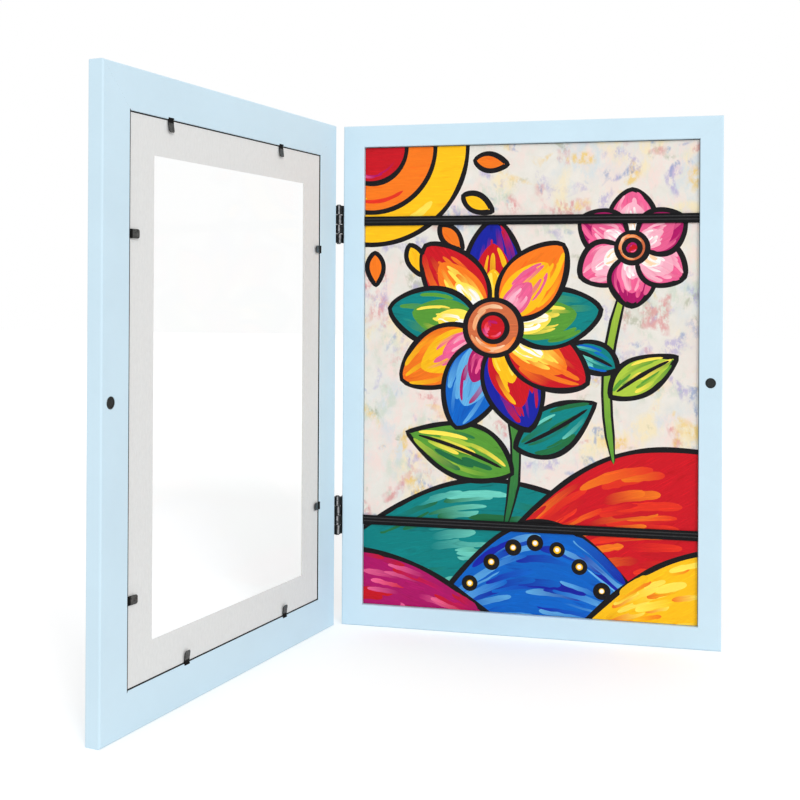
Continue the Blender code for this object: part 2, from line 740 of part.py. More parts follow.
def build_box(half):
    """Tray rails, the board behind, the paper, the bands and all that fastens them."""
    screw_holes = hinge_screw_holes(1)
    for side in ("bottom", "top", "hinge", "latch"):
        cuts = [box_corner_nail(corner, SEAT_GAP) for corner in corners_of(side)]
        cuts += [moved(nail_hole(BRAD_LENGTH), place) for rail, place in brad_places() if rail == side]
        nails = [place for rail, place in hanger_nail_places() if rail == side]
        cuts += [moved(nail_hole(HANGER_NAIL_LENGTH), place) for place in nails]
        if side == "hinge":
            cuts += screw_holes
        if side in ("hinge", "latch"):
            cuts += band_slots(side)
        if side == "latch":
            cuts.append(moved(magnet_pocket(), magnet_place(BOX_FRONT, -1)))
        name = f"box_{side}_rail" if side in ("bottom", "top") else f"box_{side}_stile"
        added(name, carved(mitred_rail(side, box_section()), cuts), PAINT, half)
    added("box_magnet", magnet(), MAGNET_METAL, half, magnet_place(BOX_FRONT, -1))
    board = pane(BOX_BACK_WIDTH + PANE_PLAY, BACK_BOARD_FRONT, BACK_BOARD_FRONT + BACK_BOARD_THICKNESS)
    brad_holes = [moved(nail_hole(BRAD_LENGTH), place) for _, place in brad_places()]
    added("back_board", carved(board, brad_holes), FIBRE_BOARD, half)
    for number, (_, place) in enumerate(brad_places(), start=1):
        added(f"back_board_brad_{number}", nail(BRAD_LENGTH), BRIGHT_STEEL, half, place)
    added("paper_stack", paper(STACK_FRONT, BACK_BOARD_FRONT - SEAT_GAP), PAPER, half)
    added("artwork_sheet", paper(SHEET_FRONT, SHEET_FRONT + SHEET_THICKNESS), PAINTED_PAPER, half)
    for level, z in BAND_HEIGHTS.items():
        added(f"elastic_band_{level}", band(z), ELASTIC, half)
    for number, corner in enumerate(corners_of("bottom") + corners_of("top"), start=1):
        added(f"box_corner_nail_{number}", box_corner_nail(corner), BRIGHT_STEEL, half)
    for name, _, place in hanger_places():
        added(name, hanger(), BRIGHT_STEEL, half, place)
    for number, (_, place) in enumerate(hanger_nail_places(), start=1):
        added(f"hanger_nail_{number}", nail(HANGER_NAIL_LENGTH), BRIGHT_STEEL, half, place)


def build_door(half):
    """Door rails, glazing, mat, tabs and magnet."""
    for side in ("bottom", "top", "hinge", "latch"):
        cuts = [door_corner_nail(corner, SEAT_GAP) for corner in corners_of(side)]
        cuts += [moved(tab_notch(), place) for _, rail, place in tab_places() if rail == side]
        if side == "hinge":
            cuts += hinge_screw_holes(-1)
        if side == "latch":
            cuts.append(moved(magnet_pocket(), magnet_place(DOOR_INNER, 1)))
        name = f"door_{side}_rail" if side in ("bottom", "top") else f"door_{side}_stile"
        added(name, carved(mitred_rail(side, door_section()), cuts), PAINT, half)
    added("door_magnet", magnet(), MAGNET_METAL, half, magnet_place(DOOR_INNER, 1))
    added("door_glazing", pane(DOOR_RAIL_WIDTH + PANE_PLAY, GLAZING_OUTER, GLAZING_INNER), GLAZING, half)
    added("door_mat", mat(), MAT_BOARD, half)
    for number, corner in enumerate(corners_of("bottom") + corners_of("top"), start=1):
        added(f"door_corner_nail_{number}", door_corner_nail(corner), BRIGHT_STEEL, half)
    lift = Matrix.Rotation(math.radians(TAB_LIFT_DEGREES), 4, "Z")
    for name, _, place in tab_places():
        added(name, tab(), TAB_STEEL, half, place @ lift)


def build_hinges(box_half, door_half):
    """Leaves, screws and pins of both hinges."""
    numbers = {"box": 0, "door": 0}
    for level, z in HINGE_HEIGHTS.items():
        for owner, half, first_knuckle, into_y in (("box", box_half, 0, 1), ("door", door_half, 1, -1)):
            added(f"{owner}_leaf_{level}", hinge_leaf(first_knuckle, into_y, z), BLACK_METAL, half)
            for place in screw_places(z, into_y):
                numbers[owner] += 1
                added(f"{owner}_screw_{numbers[owner]}", screw(), BLACK_METAL, half, place)
        added(f"hinge_pin_{level}", hinge_pin(), BLACK_METAL, box_half, Matrix.Translation((0, 0, z)))


def build():
    """Builds the frame, with its door open."""
    clear_scene()
    pin_place = (-FRAME_WIDTH / 2 - PIN_OFFSET, -BOX_FRONT - BOX_DEPTH / 2, 0)
    box_half = guide("box_half", pin_place, 0)
    door_half = guide("door_hinge_axis", pin_place, -math.radians(DOOR_OPEN_DEGREES))
    build_box(box_half)
    build_door(door_half)
    build_hinges(box_half, door_half)


build()
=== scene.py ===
import json
import math
import random

import bmesh
import bpy
import numpy
from mathutils import Matrix, Vector, noise
from mathutils.geometry import delaunay_2d_cdt


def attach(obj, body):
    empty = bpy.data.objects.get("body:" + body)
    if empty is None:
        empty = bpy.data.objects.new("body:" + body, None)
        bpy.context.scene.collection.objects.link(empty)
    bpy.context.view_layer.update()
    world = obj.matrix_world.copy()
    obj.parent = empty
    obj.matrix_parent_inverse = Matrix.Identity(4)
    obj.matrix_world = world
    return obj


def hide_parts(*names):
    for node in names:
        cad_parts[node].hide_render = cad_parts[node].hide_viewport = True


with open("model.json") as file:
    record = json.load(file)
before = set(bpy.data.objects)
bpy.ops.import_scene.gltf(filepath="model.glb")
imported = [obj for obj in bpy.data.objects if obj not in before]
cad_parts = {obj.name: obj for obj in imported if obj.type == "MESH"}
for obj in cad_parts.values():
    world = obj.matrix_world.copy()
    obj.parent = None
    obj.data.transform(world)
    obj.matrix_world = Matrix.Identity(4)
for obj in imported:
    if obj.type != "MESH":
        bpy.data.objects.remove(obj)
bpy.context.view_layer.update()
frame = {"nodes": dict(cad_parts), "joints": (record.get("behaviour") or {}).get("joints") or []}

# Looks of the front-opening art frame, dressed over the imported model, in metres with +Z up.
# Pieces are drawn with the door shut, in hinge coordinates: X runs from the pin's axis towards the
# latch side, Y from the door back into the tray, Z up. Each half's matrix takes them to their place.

# The photograph's camera, fitted to the frame's corners
PHOTO_PIXELS = 800
FOCAL_PIXELS = 1177.9
PRINCIPAL_PIXELS = (372.2, 299.0)
SENSOR_MILLIMETRES = 36
CAMERA_PLACE = (0.08148, -0.75424, 0.21288)
CAMERA_TURN_DEGREES = 13.68
CAMERA_ROLL_DEGREES = 0.31

# Clearances and overruns
SEAT_GAP = 0.0003
MITRE_GAP = 0.00001
PANE_PLAY = 0.0006
CUT_OVERRUN = 0.002
MERGE_DISTANCE = 1e-7

# Rounded edges, and the painted shade on a stile's inner arris
EDGE_ROUND = 0.0010
INNER_EDGE_ROUND = 0.0005
ARRIS_SHADE = 0.0004
ARRIS_LEAN_SHARE = 0.05
SHADED_SIDE = "latch"
ROUND_STEPS = 6
FINE_SIDES = 64
SMALL_SIDES = 32
SMOOTH_DEGREES = 35
BEVEL_SEGMENTS = 2

# Least share of a face's normal along an axis, for a flat face and for a slanted one
FLAT_SHARE = 0.9
SLANTED_SHARE = 0.1

# Hinges and their screws
KNUCKLE_COUNT = 4
PIN_RADIUS = 0.0009
PIN_DOME_STEPS = 5
PIN_DOME_DEGREES = 75
LEAF_THICKNESS = 0.0009
LEAF_ROUND = 0.0010
KNUCKLE_CHAMFER = 0.00015
LEAF_BEVEL = 0.00008
SCREW_SHANK_RADIUS = 0.00075
SCREW_POINT_SHARE = 0.25
SCREW_TAPER_SHARE = 0.8
SCREW_CROWN = 0.00018
SCREW_CROWN_SHARES = ((0.8, 0.6), (0.4, 1.0))
SCREW_TURN_DEGREES = 17
DRIVE_ARM = 0.0009
DRIVE_SLOT = 0.0004
DRIVE_DEPTH = 0.0005

# Painted highlight on the knuckles, drawn as bare steel through the black lacquer: where it lies, measured
# from the pin's axis
HIGHLIGHT_OFFSETS = {"box": 0.0006, "door": 0.0012}
HIGHLIGHT_HALF_WIDTH = 0.0003
HIGHLIGHT_RAGGED = 0.0003
HIGHLIGHT_FADE = 0.0003

# Flexible tabs
TAB_WIDTH = 0.0046
TAB_THICKNESS = 0.0004
TAB_ROUND = 0.0012
TAB_TONGUE = 0.0007
# Painted shade where a tab comes out of the rebate: how far it reaches along the strip, and how softly it
# fades
TAB_ROOT_SHADE = 0.0018
TAB_ROOT_SHADE_FADE = 0.0014
TAB_CURL = 0.0003
TAB_STEPS = 16
TAB_STEP_EASE = 1.6
TAB_BEVEL = 0.0001

# Magnets: a steel cup round a core
MAGNET_CHAMFER = 0.0003
MAGNET_CORE_SHARE = 0.68
MAGNET_GROOVE_WIDTH = 0.00012
MAGNET_GROOVE_DEPTH = 0.0002

# Elastic bands
BAND_RIBS = 9
BAND_RIB_DEPTH = 0.00012
BAND_RIB_STEPS = 6
BAND_SLOT_PLAY = 0.0007
# Ribs whose fronts are drawn lighter grey
BAND_GREY_RIBS = (3, 6)

# Stack of sheets
STACK_SHEETS = 46
SHEET_THICKNESS_SHARE = 0.86
SHEET_SHIFT = 0.00042
SHEET_LIFT = 0.00038
SHEET_SPREAD = 0.0002
SHEET_SHIFT_SHARES = (0.6, 1.0)
SHEET_LIFT_SHARES = (0.4, 1.0)
SHEET_DROP_SHARE = -0.2

# Nails
NAIL_HEAD_CROWN = 0.00018
NAIL_SHANK_RADIUS = 0.0006
NAIL_POINT_SHARE = 1 / 6
NAIL_NECK_SHARE = 0.92
NAIL_DOME_SHARES = (0.9, 0.5)
CORNER_NAIL_THICKNESS = 0.0006

# Relief of the finishes
ORANGE_PEEL = 0.00002
DUST_RELIEF = 0.000006
FIBRE_RELIEF = 0.00003
PULP_RELIEF = 0.00004
LACQUER_RELIEF = 0.00001
WEAVE_RELIEF = 0.00006
GROUND_RELIEF = 0.00012
BRISTLE_RELIEF = 0.00010
PAINT_RELIEF = 0.00025
BOARD_RELIEF = 0.00015
ZINC_RELIEF = 0.000005
DARK_RELIEF_SHARE = 0.01

# Range that most of a grain's values lie in, and how far a dark finish's gloss varies
GRAIN_RANGE = (0.3, 0.7)
DARK_GLOSS_SHARES = (0.8, 1.3)

# Clear pane: its tint, gloss seen square on, gloss at a flat angle, and how late it grows
PANE_TINT = (0.996, 0.999, 0.998)
PANE_GLOSS = 0.008
PANE_EDGE_GLOSS = 0.6
PANE_FALLOFF = 7

# Light of the surroundings and of the lamp, and the floor
WHITE = (1.0, 1.0, 1.0)
SURROUND_LIGHT = 0.77
KEY_LIGHT = 1.1
KEY_SPREAD_DEGREES = 16
KEY_FROM = (0.56, -0.82, 0.45)
FLOOR_WHITE = (0.92, 0.92, 0.92)
FLOOR_GLOW = 0.24
FLOOR_REACH = 6.0

# Painted design, in shares of the sheet's width
DESIGN_SEED = 7
INK_SHARE = 0.0075
CLOSE_SHARE = 0.001
HILL_FOOT_SHARE = -0.06

# Brush strokes: their reach along a patch, how ragged and blunt they are, and their random ranges
STROKE_ENDS_SHARES = (0.06, 0.94)
STROKE_POINTS = 7
STROKE_STEPS = 12
STROKE_RAGGED_SHARE = 0.3
STROKE_WAVES = 60
STROKE_BLUNTNESS = 4
STROKE_PLACE_SHARES = (0.1, 0.9)
STROKE_LENGTH_SHARES = (0.7, 1.3)
STROKE_WIDTH_SHARES = (0.6, 1.2)
STROKE_TINTS = (0.94, 1.06)

# How far the bristles' pattern is shifted from one stroke to the next
STROKE_SHIFTS = (0.13, 0.29)

# Outlines: how much a line swells, and how often
OUTLINE_SWELL_SHARE = 0.35
OUTLINE_WAVES = 9

# Petals and leaves: how near their foot they are widest, how they narrow, and a leaf's rib
PETAL_LEAN = 0.85
PETAL_TAPER = 0.62
LEAF_TAPER = 0.9
RAY_TAPER = 0.8
RIB_STEPS = 10
RIB_SHARE = INK_SHARE * 1.5

# Paint colours as written on a screen, 0 to 255
INKS = {
    "ink": (14, 12, 16),
    "cobalt": (16, 30, 160),
    "royal": (0, 98, 196),
    "sky": (96, 172, 226),
    "crimson": (198, 14, 30),
    "scarlet": (228, 48, 28),
    "orange": (242, 118, 24),
    "amber": (250, 190, 20),
    "lemon": (255, 226, 84),
    "forest": (28, 106, 62),
    "leaf": (86, 152, 52),
    "lime": (168, 196, 62),
    "teal": (0, 128, 128),
    "mint": (104, 200, 184),
    "magenta": (172, 12, 98),
    "rose": (236, 96, 146),
    "blossom": (248, 176, 196),
    "clay": (202, 104, 62),
    "peach": (238, 164, 112),
    "sand": (250, 206, 164),
    "white": (250, 248, 244),
    "cream": (235, 230, 222),
    "bone": (224, 220, 210),
    "blush": (241, 219, 211),
    "butter": (242, 226, 188),
    "mist": (206, 217, 222),
    "lilac": (170, 158, 206),
    "sage": (198, 210, 192),
    "olive": (148, 156, 120),
    "brick": (214, 110, 116),
    "straw": (236, 198, 96),
    "denim": (104, 138, 192),
}

# Layers of the painting's ground: ink, scale of its patches, where they start and are full, their
# strength, and the scale of the bristles that break them up; then the shift from layer to layer
GROUND_LAYERS = (
    ("blush", 22, 0.42, 0.56, 0.9, 110),
    ("mist", 20, 0.54, 0.64, 0.7, 120),
    ("butter", 24, 0.56, 0.66, 0.9, 110),
    ("sage", 34, 0.58, 0.66, 0.6, 220),
    ("olive", 52, 0.61, 0.68, 0.50, 360),
    ("brick", 46, 0.59, 0.67, 0.60, 320),
    ("lilac", 50, 0.60, 0.68, 0.65, 340),
    ("straw", 42, 0.60, 0.68, 0.75, 300),
    ("denim", 54, 0.62, 0.69, 0.60, 380),
)
LAYER_SHIFTS = (0.37, 0.61)

# A petal's nested colours: shares of its length and width, then the number, width, run and reach
# across of their strokes
PETAL_LAYERS = (
    (1.0, 1.0, 12, 0.20, 0.45, 0.78),
    (0.74, 0.92, 9, 0.17, 0.50, 0.70),
    (0.46, 0.92, 9, 0.17, 0.50, 0.70),
)

# Rings of a flower's heart: radius and ink, then the rim, inks, number, width and run of their strokes
HEART_RINGS = (
    (1.0, "clay", (0.60, 0.88), ("peach", "sand", "orange"), 10, 0.14, 0.16),
    (0.5, "crimson", (0.10, 0.38), ("magenta", "scarlet", "rose"), 7, 0.12, 0.20),
)

# Rings of the sun: radius and inks
SUN_RINGS = (
    (0.30, ("amber", "amber", "lemon", "orange")),
    (0.20, ("orange", "scarlet", "amber")),
    (0.11, ("crimson", "magenta", "rose")),
)


def linear(colour):
    """A colour written 0 to 255 as linear values."""
    shares = [value / 255 for value in colour]
    return tuple(s / 12.92 if s <= 0.04045 else ((s + 0.055) / 1.055) ** 2.4 for s in shares)


def shade(colour, factor):
    """A colour made lighter or darker."""
    return tuple(min(value * factor, 1.0) for value in colour)


# Names of the pieces, places of the two halves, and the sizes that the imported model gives

HALF_NAMES = ("box", "door")
LEVEL_SIDES = ("bottom", "top")
UPRIGHT_SIDES = ("hinge", "latch")
SIDES = LEVEL_SIDES + UPRIGHT_SIDES
HEIGHTS = ("upper", "lower")
RIGHT, BACK, UP = Vector((1, 0, 0)), Vector((0, 1, 0)), Vector((0, 0, 1))
INWARDS = {"bottom": UP, "top": -UP, "hinge": RIGHT, "latch": -RIGHT}
MAGNET_WAYS = {"box": -BACK, "door": BACK}
SCREW_WAY = -RIGHT


def numbered(stem, count):
    """Names of a row of like nodes."""
    return [f"{stem}_{number}" for number in range(1, count + 1)]


def joint(name):
    """One joint of the record."""
    return next(entry for entry in frame["joints"] if entry["name"] == name)


PIN = Vector(joint("door_hinge")["pos_m"])
OPEN_TURN = math.radians(joint("door_hinge")["range_deg"][0])
HALVES = {
    "box": Matrix.Translation(PIN),
    "door": Matrix.Translation(PIN) @ Matrix.Rotation(OPEN_TURN, 4, "Z"),
}
TABS = sum([numbered(f"tab_{side}", 2) for side in ("top", "bottom", "hinge_side", "latch_side")], [])
BACK_NAILS = numbered("back_board_brad", 6) + numbered("hanger_nail", 4)


def half_of(node):
    """The half that a node belongs to."""
    return "door" if node.startswith(("door", "tab")) else "box"


def points_of(node):
    """A node's points in hinge coordinates."""
    back = HALVES[half_of(node)].inverted()
    return [back @ vertex.co for vertex in frame["nodes"][node].data.vertices]


def extent(points):
    """Lowest and highest corner of some points."""
    return [Vector([pick(point[axis] for point in points) for axis in range(3)]) for pick in (min, max)]


def corners(node):
    """Lowest and highest corner of a node in hinge coordinates."""
    return extent(points_of(node))


def middle(node):
    """Middle of a node's box in hinge coordinates."""
    low, high = corners(node)
    return (low + high) / 2


def span(node):
    """Size of a node's box in hinge coordinates."""
    low, high = corners(node)
    return high - low


HINGE_EDGE = corners("box_hinge_stile")[0].x
LATCH_EDGE = corners("box_latch_stile")[1].x
FRAME_HEIGHT = corners("box_top_rail")[1].z
(_, BOX_FRONT, _), (_, BOX_BACK, BOX_RAIL_WIDTH) = corners("box_bottom_rail")
(_, DOOR_OUTER, _), (_, DOOR_INNER, SIGHT_WIDTH) = corners("door_bottom_rail")
BOX_BACK_WIDTH = corners("back_board")[0].z - PANE_PLAY
BACK_REBATE_Y = corners("back_board")[0].y - SEAT_GAP
DOOR_RAIL_WIDTH = corners("door_glazing")[0].z - PANE_PLAY
GLAZING_REBATE_Y = corners("door_glazing")[0].y - SEAT_GAP


def inset(side, point):
    """How far a point lies inside one side of the frame."""
    return {
        "bottom": point.z,
        "top": FRAME_HEIGHT - point.z,
        "hinge": point.x - HINGE_EDGE,
        "latch": LATCH_EDGE - point.x,
    }[side]


def side_of(node):
    """The side of the frame that a small piece sits in."""
    centre = middle(node)
    return min(SIDES, key=lambda side: inset(side, centre))


def spot(upright, level, inset_x, y, inset_z):
    """Point at two insets, from an upright and from a level side of the frame."""
    x = HINGE_EDGE + inset_x if upright == "hinge" else LATCH_EDGE - inset_x
    return (x, y, inset_z if level == "bottom" else FRAME_HEIGHT - inset_z)


# Solids


def lofted(rings, closed=False):
    """Solid through rings of points, with a face over each end, or with its ends joined."""
    solid = bmesh.new()
    loops = [[solid.verts.new(point) for point in ring] for ring in rings]
    for first, second in zip(loops, loops[1:] + loops[:1] if closed else loops[1:]):
        for index in range(len(first)):
            solid.faces.new((first[index - 1], first[index], second[index], second[index - 1]))
    if not closed:
        solid.faces.new(loops[0])
        solid.faces.new(loops[-1])
    bmesh.ops.recalc_face_normals(solid, faces=solid.faces)
    return solid


def prism(outline, low, high):
    """Solid of an outline of (x, y) points between two heights."""
    return lofted([[(x, y, height) for x, y in outline] for height in (low, high)])


def rectangle(low, high):
    """Outline between two (x, y) corners."""
    return [(low[0], low[1]), (high[0], low[1]), (high[0], high[1]), (low[0], high[1])]


def block(low, high):
    """Box between its lowest and highest corners."""
    return prism(rectangle(low, high), low[2], high[2])


def turned(profile, sides=SMALL_SIDES):
    """Round solid about Z through (radius, height) points."""
    angles = [math.tau * side / sides for side in range(sides)]
    return lofted([[(radius * math.cos(angle), radius * math.sin(angle), height) for angle in angles]
                   for radius, height in profile])


def rounded(outline_corners):
    """Outline through (x, y, radius) corners, each turned into an arc of its radius."""
    outline = []
    places = [Vector((x, y)) for x, y, _ in outline_corners]
    for index, (x, y, radius) in enumerate(outline_corners):
        if not radius:
            outline.append((x, y))
            continue
        corner = places[index]
        ways = [(places[near % len(places)] - corner).normalized() for near in (index - 1, index + 1)]
        half_turn = ways[0].angle(ways[1]) / 2
        centre = corner + (ways[0] + ways[1]).normalized() * (radius / math.sin(half_turn))
        start, end = [corner + way * (radius / math.tan(half_turn)) - centre for way in ways]
        sweep = math.atan2(start.cross(end), start.dot(end))
        for step in range(ROUND_STEPS + 1):
            outline.append(tuple(centre + Matrix.Rotation(sweep * step / ROUND_STEPS, 2) @ start))
    return outline


def moved(solid, matrix):
    """The same solid, placed by a matrix."""
    solid.transform(matrix)
    return solid


def along(direction, start):
    """Matrix that stands a solid's +Z along a direction, from a start point."""
    return Matrix.Translation(start) @ direction.to_track_quat("Z", "Y").to_matrix().to_4x4()


def outer_face(node, way):
    """Matrix that stands a solid on the face that a node turns one way."""
    return along(way, middle(node) + way * abs(span(node).dot(way)) / 2)


def bore(node, way, radius, sides):
    """Round cut for a node that goes in from one face."""
    depth = abs(span(node).dot(way))
    hole = turned([(radius, -depth - SEAT_GAP), (radius, CUT_OVERRUN)], sides)
    return moved(hole, outer_face(node, way))


def placed(name, data):
    """New object in the scene."""
    made = bpy.data.objects.new(name, data)
    bpy.context.scene.collection.objects.link(made)
    return made


def meshed(name, solid):
    """Mesh of a solid, which it uses up."""
    mesh = bpy.data.meshes.new(name)
    solid.to_mesh(mesh)
    solid.free()
    return mesh


def merged(solids):
    """Several solids as one, without a Boolean."""
    whole = bmesh.new()
    for solid in solids:
        mesh = meshed("merged", solid)
        whole.from_mesh(mesh)
        bpy.data.meshes.remove(mesh)
    return whole


def combined(solid, others, operation):
    """Boolean of a solid with others that don't meet one another."""
    target, tool = [placed("boolean", meshed("boolean", shape)) for shape in (solid, merged(others))]
    boolean = target.modifiers.new("boolean", "BOOLEAN")
    boolean.operation = operation
    boolean.object = tool
    graph = bpy.context.evaluated_depsgraph_get()
    mesh = bpy.data.meshes.new_from_object(target.evaluated_get(graph))
    result = bmesh.new()
    result.from_mesh(mesh)
    for used in (mesh, target.data, tool.data):
        bpy.data.meshes.remove(used)
    return result


def carved(solid, cutters):
    """Solid with the cutters taken out of it."""
    return combined(solid, cutters, "DIFFERENCE") if cutters else solid


def piece(name, solid, slot, node, *finishes, bevel=0.0):
    """Makes a shown piece of a solid drawn in hinge coordinates, in place of its node."""
    half = half_of(node)
    made = placed(name, meshed(name, moved(solid, HALVES[half])))
    for finish in finishes:
        made.data.materials.append(finish)
    made.data.shade_smooth()
    made.data.set_sharp_from_angle(angle=math.radians(SMOOTH_DEGREES))
    if bevel:
        softened = made.modifiers.new("softened", "BEVEL")
        softened.width = bevel
        softened.segments = BEVEL_SEGMENTS
        softened.limit_method = "ANGLE"
        softened.angle_limit = math.radians(SMOOTH_DEGREES)
    made.modifiers.new("level_faces", "WEIGHTED_NORMAL").keep_sharp = True
    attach(made, node if node in TABS else half)
    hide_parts(node)


# Materials


class Nodes:
    """A node tree, with short forms for the nodes that are used most."""

    def __init__(self, tree):
        self.tree = tree

    def put(self, socket, value):
        """Links a socket to another, or sets it to a value, colours with full alpha."""
        if isinstance(value, bpy.types.NodeSocket):
            self.tree.links.new(value, socket)
        else:
            socket.default_value = (*value, 1.0) if socket.type == "RGBA" else value

    def fill(self, node, *values, **named):
        """Gives a node its inputs, in order or by name, and its settings, named in lower case."""
        for key, value in named.items():
            if key.islower():
                setattr(node, key, value)
            else:
                self.put(node.inputs[key.replace("_", " ")], value)
        for index, value in enumerate(values):
            self.put(node.inputs[index], value)
        return node

    def add(self, kind, *values, **named):
        """New node with its inputs and settings."""
        return self.fill(self.tree.nodes.new(f"ShaderNode{kind}"), *values, **named)

    def between(self, value, low, high, to_low=0.0, to_high=1.0):
        """Value taken from one range to another, and held there."""
        return self.add("MapRange", value, low, high, to_low, to_high).outputs["Result"]

    def maths(self, operation, first, second=0.0):
        """Sum, product or the like of two values."""
        return self.add("Math", first, second, operation=operation).outputs["Value"]

    def product(self, *values):
        """Product of several values."""
        result = values[0]
        for value in values[1:]:
            result = self.maths("MULTIPLY", result, value)
        return result

    def mixed(self, factor, first, second, blend="MIX"):
        """Mix of two colours."""
        node = self.add("Mix", data_type="RGBA", blend_type=blend)
        for index, value in ((0, factor), (6, first), (7, second)):
            self.put(node.inputs[index], value)
        return node.outputs[2]

    def shown(self):
        """One for the rays that show things, zero for those that light them."""
        rays = self.add("LightPath").outputs
        straight = self.maths("MAXIMUM", rays["Is Camera Ray"], rays["Is Transmission Ray"])
        return self.maths("MAXIMUM", straight, rays["Is Glossy Ray"])


class Look(Nodes):
    """One material."""

    def __init__(self, name, colour, roughness, metallic=0.0, specular=0.5):
        self.material = bpy.data.materials.new(name)
        self.material.use_nodes = True
        self.material.diffuse_color = (*colour, 1.0)
        super().__init__(self.material.node_tree)
        self.colour = colour
        self.shader = self.tree.nodes["Principled BSDF"]
        self.drive(Base_Color=colour, Roughness=roughness, Metallic=metallic,
                   Specular_IOR_Level=specular)
        self.place = self.add("TexCoord").outputs["Object"]

    def drive(self, **inputs):
        """Gives the shader its inputs."""
        self.fill(self.shader, **inputs)
        return self.material

    def scaled(self, x, y, z, source=None):
        """Coordinates stretched along the axes."""
        return self.add("Mapping", source or self.place, Scale=(x, y, z)).outputs["Vector"]

    def grain(self, scale, detail=2.0, rough=0.5, source=None, distortion=0.0):
        """Noise from 0 to 1."""
        return self.add("TexNoise", source or self.place, Scale=scale, Detail=detail, Roughness=rough,
                        Distortion=distortion).outputs["Fac"]

    def toned(self, mask, low, high, darker, lighter):
        """The look's colour, from darker to lighter as a mask goes from low to high."""
        tones = [shade(self.colour, factor) for factor in (darker, lighter)]
        return self.mixed(self.between(mask, low, high), *tones)

    def gloss(self, mask, low, high):
        """Roughness that follows a mask."""
        return self.between(mask, *GRAIN_RANGE, low, high)

    def relief(self, height, distance):
        """Bump of a height, over any bump set before."""
        node = self.add("Bump", Height=height, Distance=distance)
        before = self.shader.inputs["Normal"].links
        if before:
            self.put(node.inputs["Normal"], before[0].from_socket)
        self.drive(Normal=node.outputs["Normal"])


def satin_paint():
    """Pale blue sprayed satin paint: faint mottle, orange peel and fine dust."""
    look = Look("satin_blue_paint", linear((204, 228, 241)), 0.4, specular=0.25)
    mottle = look.grain(28, 3.0, 0.6)
    speck = look.between(look.grain(2600, 1.0), 0.70, 0.80, 0.0, 0.10)
    tone = look.mixed(speck, look.toned(mottle, 0.35, 0.65, 0.985, 1.015), shade(look.colour, 0.86))
    look.relief(look.grain(420), ORANGE_PEEL)
    look.relief(look.grain(2200, 2.0, 0.6), DUST_RELIEF)
    return look.drive(Base_Color=tone, Roughness=look.gloss(mottle, 0.34, 0.44))


def mat_paper():
    """Grey-white paper face of the mat board, with fibres."""
    look = Look("mat_face_paper", linear((224, 225, 224)), 0.9)
    fibres = look.grain(900, 6.0, 0.75, look.scaled(1, 1, 0.35))
    tone = look.toned(fibres, 0.35, 0.65, 0.955, 1.03)
    look.relief(look.grain(1600, 5.0, 0.7), FIBRE_RELIEF)
    return look.drive(Base_Color=tone, Roughness=look.gloss(fibres, 0.84, 0.95))


def mat_core():
    """White cut core of the mat board."""
    look = Look("mat_cut_core", linear((244, 243, 238)), 0.95)
    pulp = look.grain(2400, 4.0, 0.7, look.scaled(1, 3, 1))
    look.relief(pulp, PULP_RELIEF)
    return look.drive(Base_Color=look.toned(pulp, 0.0, 1.0, 0.93, 1.0))


def clear_pane():
    """Clear acrylic: what is behind it, and a reflection that grows at flat angles."""
    look = Look("clear_acrylic", WHITE, 0.03)
    smear = look.between(look.grain(35, 4.0, 0.6), 0.45, 0.75, 0.02, 0.07)
    clear = look.add("BsdfTransparent", PANE_TINT).outputs["BSDF"]
    shine = look.add("BsdfGlossy", WHITE, smear).outputs["BSDF"]
    facing = look.add("LayerWeight", 0.5).outputs["Facing"]
    falloff = look.maths("POWER", facing, PANE_FALLOFF)
    gloss = look.between(falloff, 0.0, 1.0, PANE_GLOSS, PANE_EDGE_GLOSS)
    both = look.add("MixShader", gloss, clear, shine).outputs["Shader"]
    look.fill(look.tree.nodes["Material Output"], both)
    look.tree.nodes.remove(look.shader)
    return look.material


def gunmetal():
    """Dark tempered steel of the tabs: rolling lines, patches, and painted shade, near black, where the
    strip comes out of the rebate.
    """
    look = Look("gunmetal_strip", (0.080, 0.080, 0.077), 0.34, 1.0, 0.10)
    patches = look.grain(700, 3.0, 0.6)
    lines = look.grain(5200, 2.0, 0.5, look.scaled(1, 1, 0.2))
    root = look.add("Attribute", attribute_name="root").outputs["Fac"]
    # Painted shade: near black, with ragged edges, where the strip comes out of the rebate
    root_shade = look.between(look.maths("ADD", root, look.product(patches, 0.4)), 0.5, 0.9)
    tone = look.mixed(root_shade, look.toned(patches, 0.35, 0.7, 0.55, 1.5), (0.004, 0.004, 0.004))
    rough = look.maths("ADD", look.gloss(lines, 0.26, 0.44), look.product(root_shade, 0.4))
    look.relief(lines, DUST_RELIEF)
    metallic = look.maths("SUBTRACT", 1.0, root_shade)
    return look.drive(Base_Color=tone, Metallic=metallic, Roughness=rough)


def dark_finish(name, colour, roughness, specular, grain_scale, spread):
    """Near-black finish whose tone and gloss vary with one grain."""
    look = Look(name, colour, roughness, specular=specular)
    grain = look.grain(grain_scale, 4.0, 0.65)
    tone = look.toned(grain, 0.40, 0.75, 1.0, spread)
    look.relief(grain, DARK_RELIEF_SHARE / grain_scale)
    limits = [min(roughness * share, 1.0) for share in DARK_GLOSS_SHARES]
    return look.drive(Base_Color=tone, Roughness=look.gloss(grain, *limits))


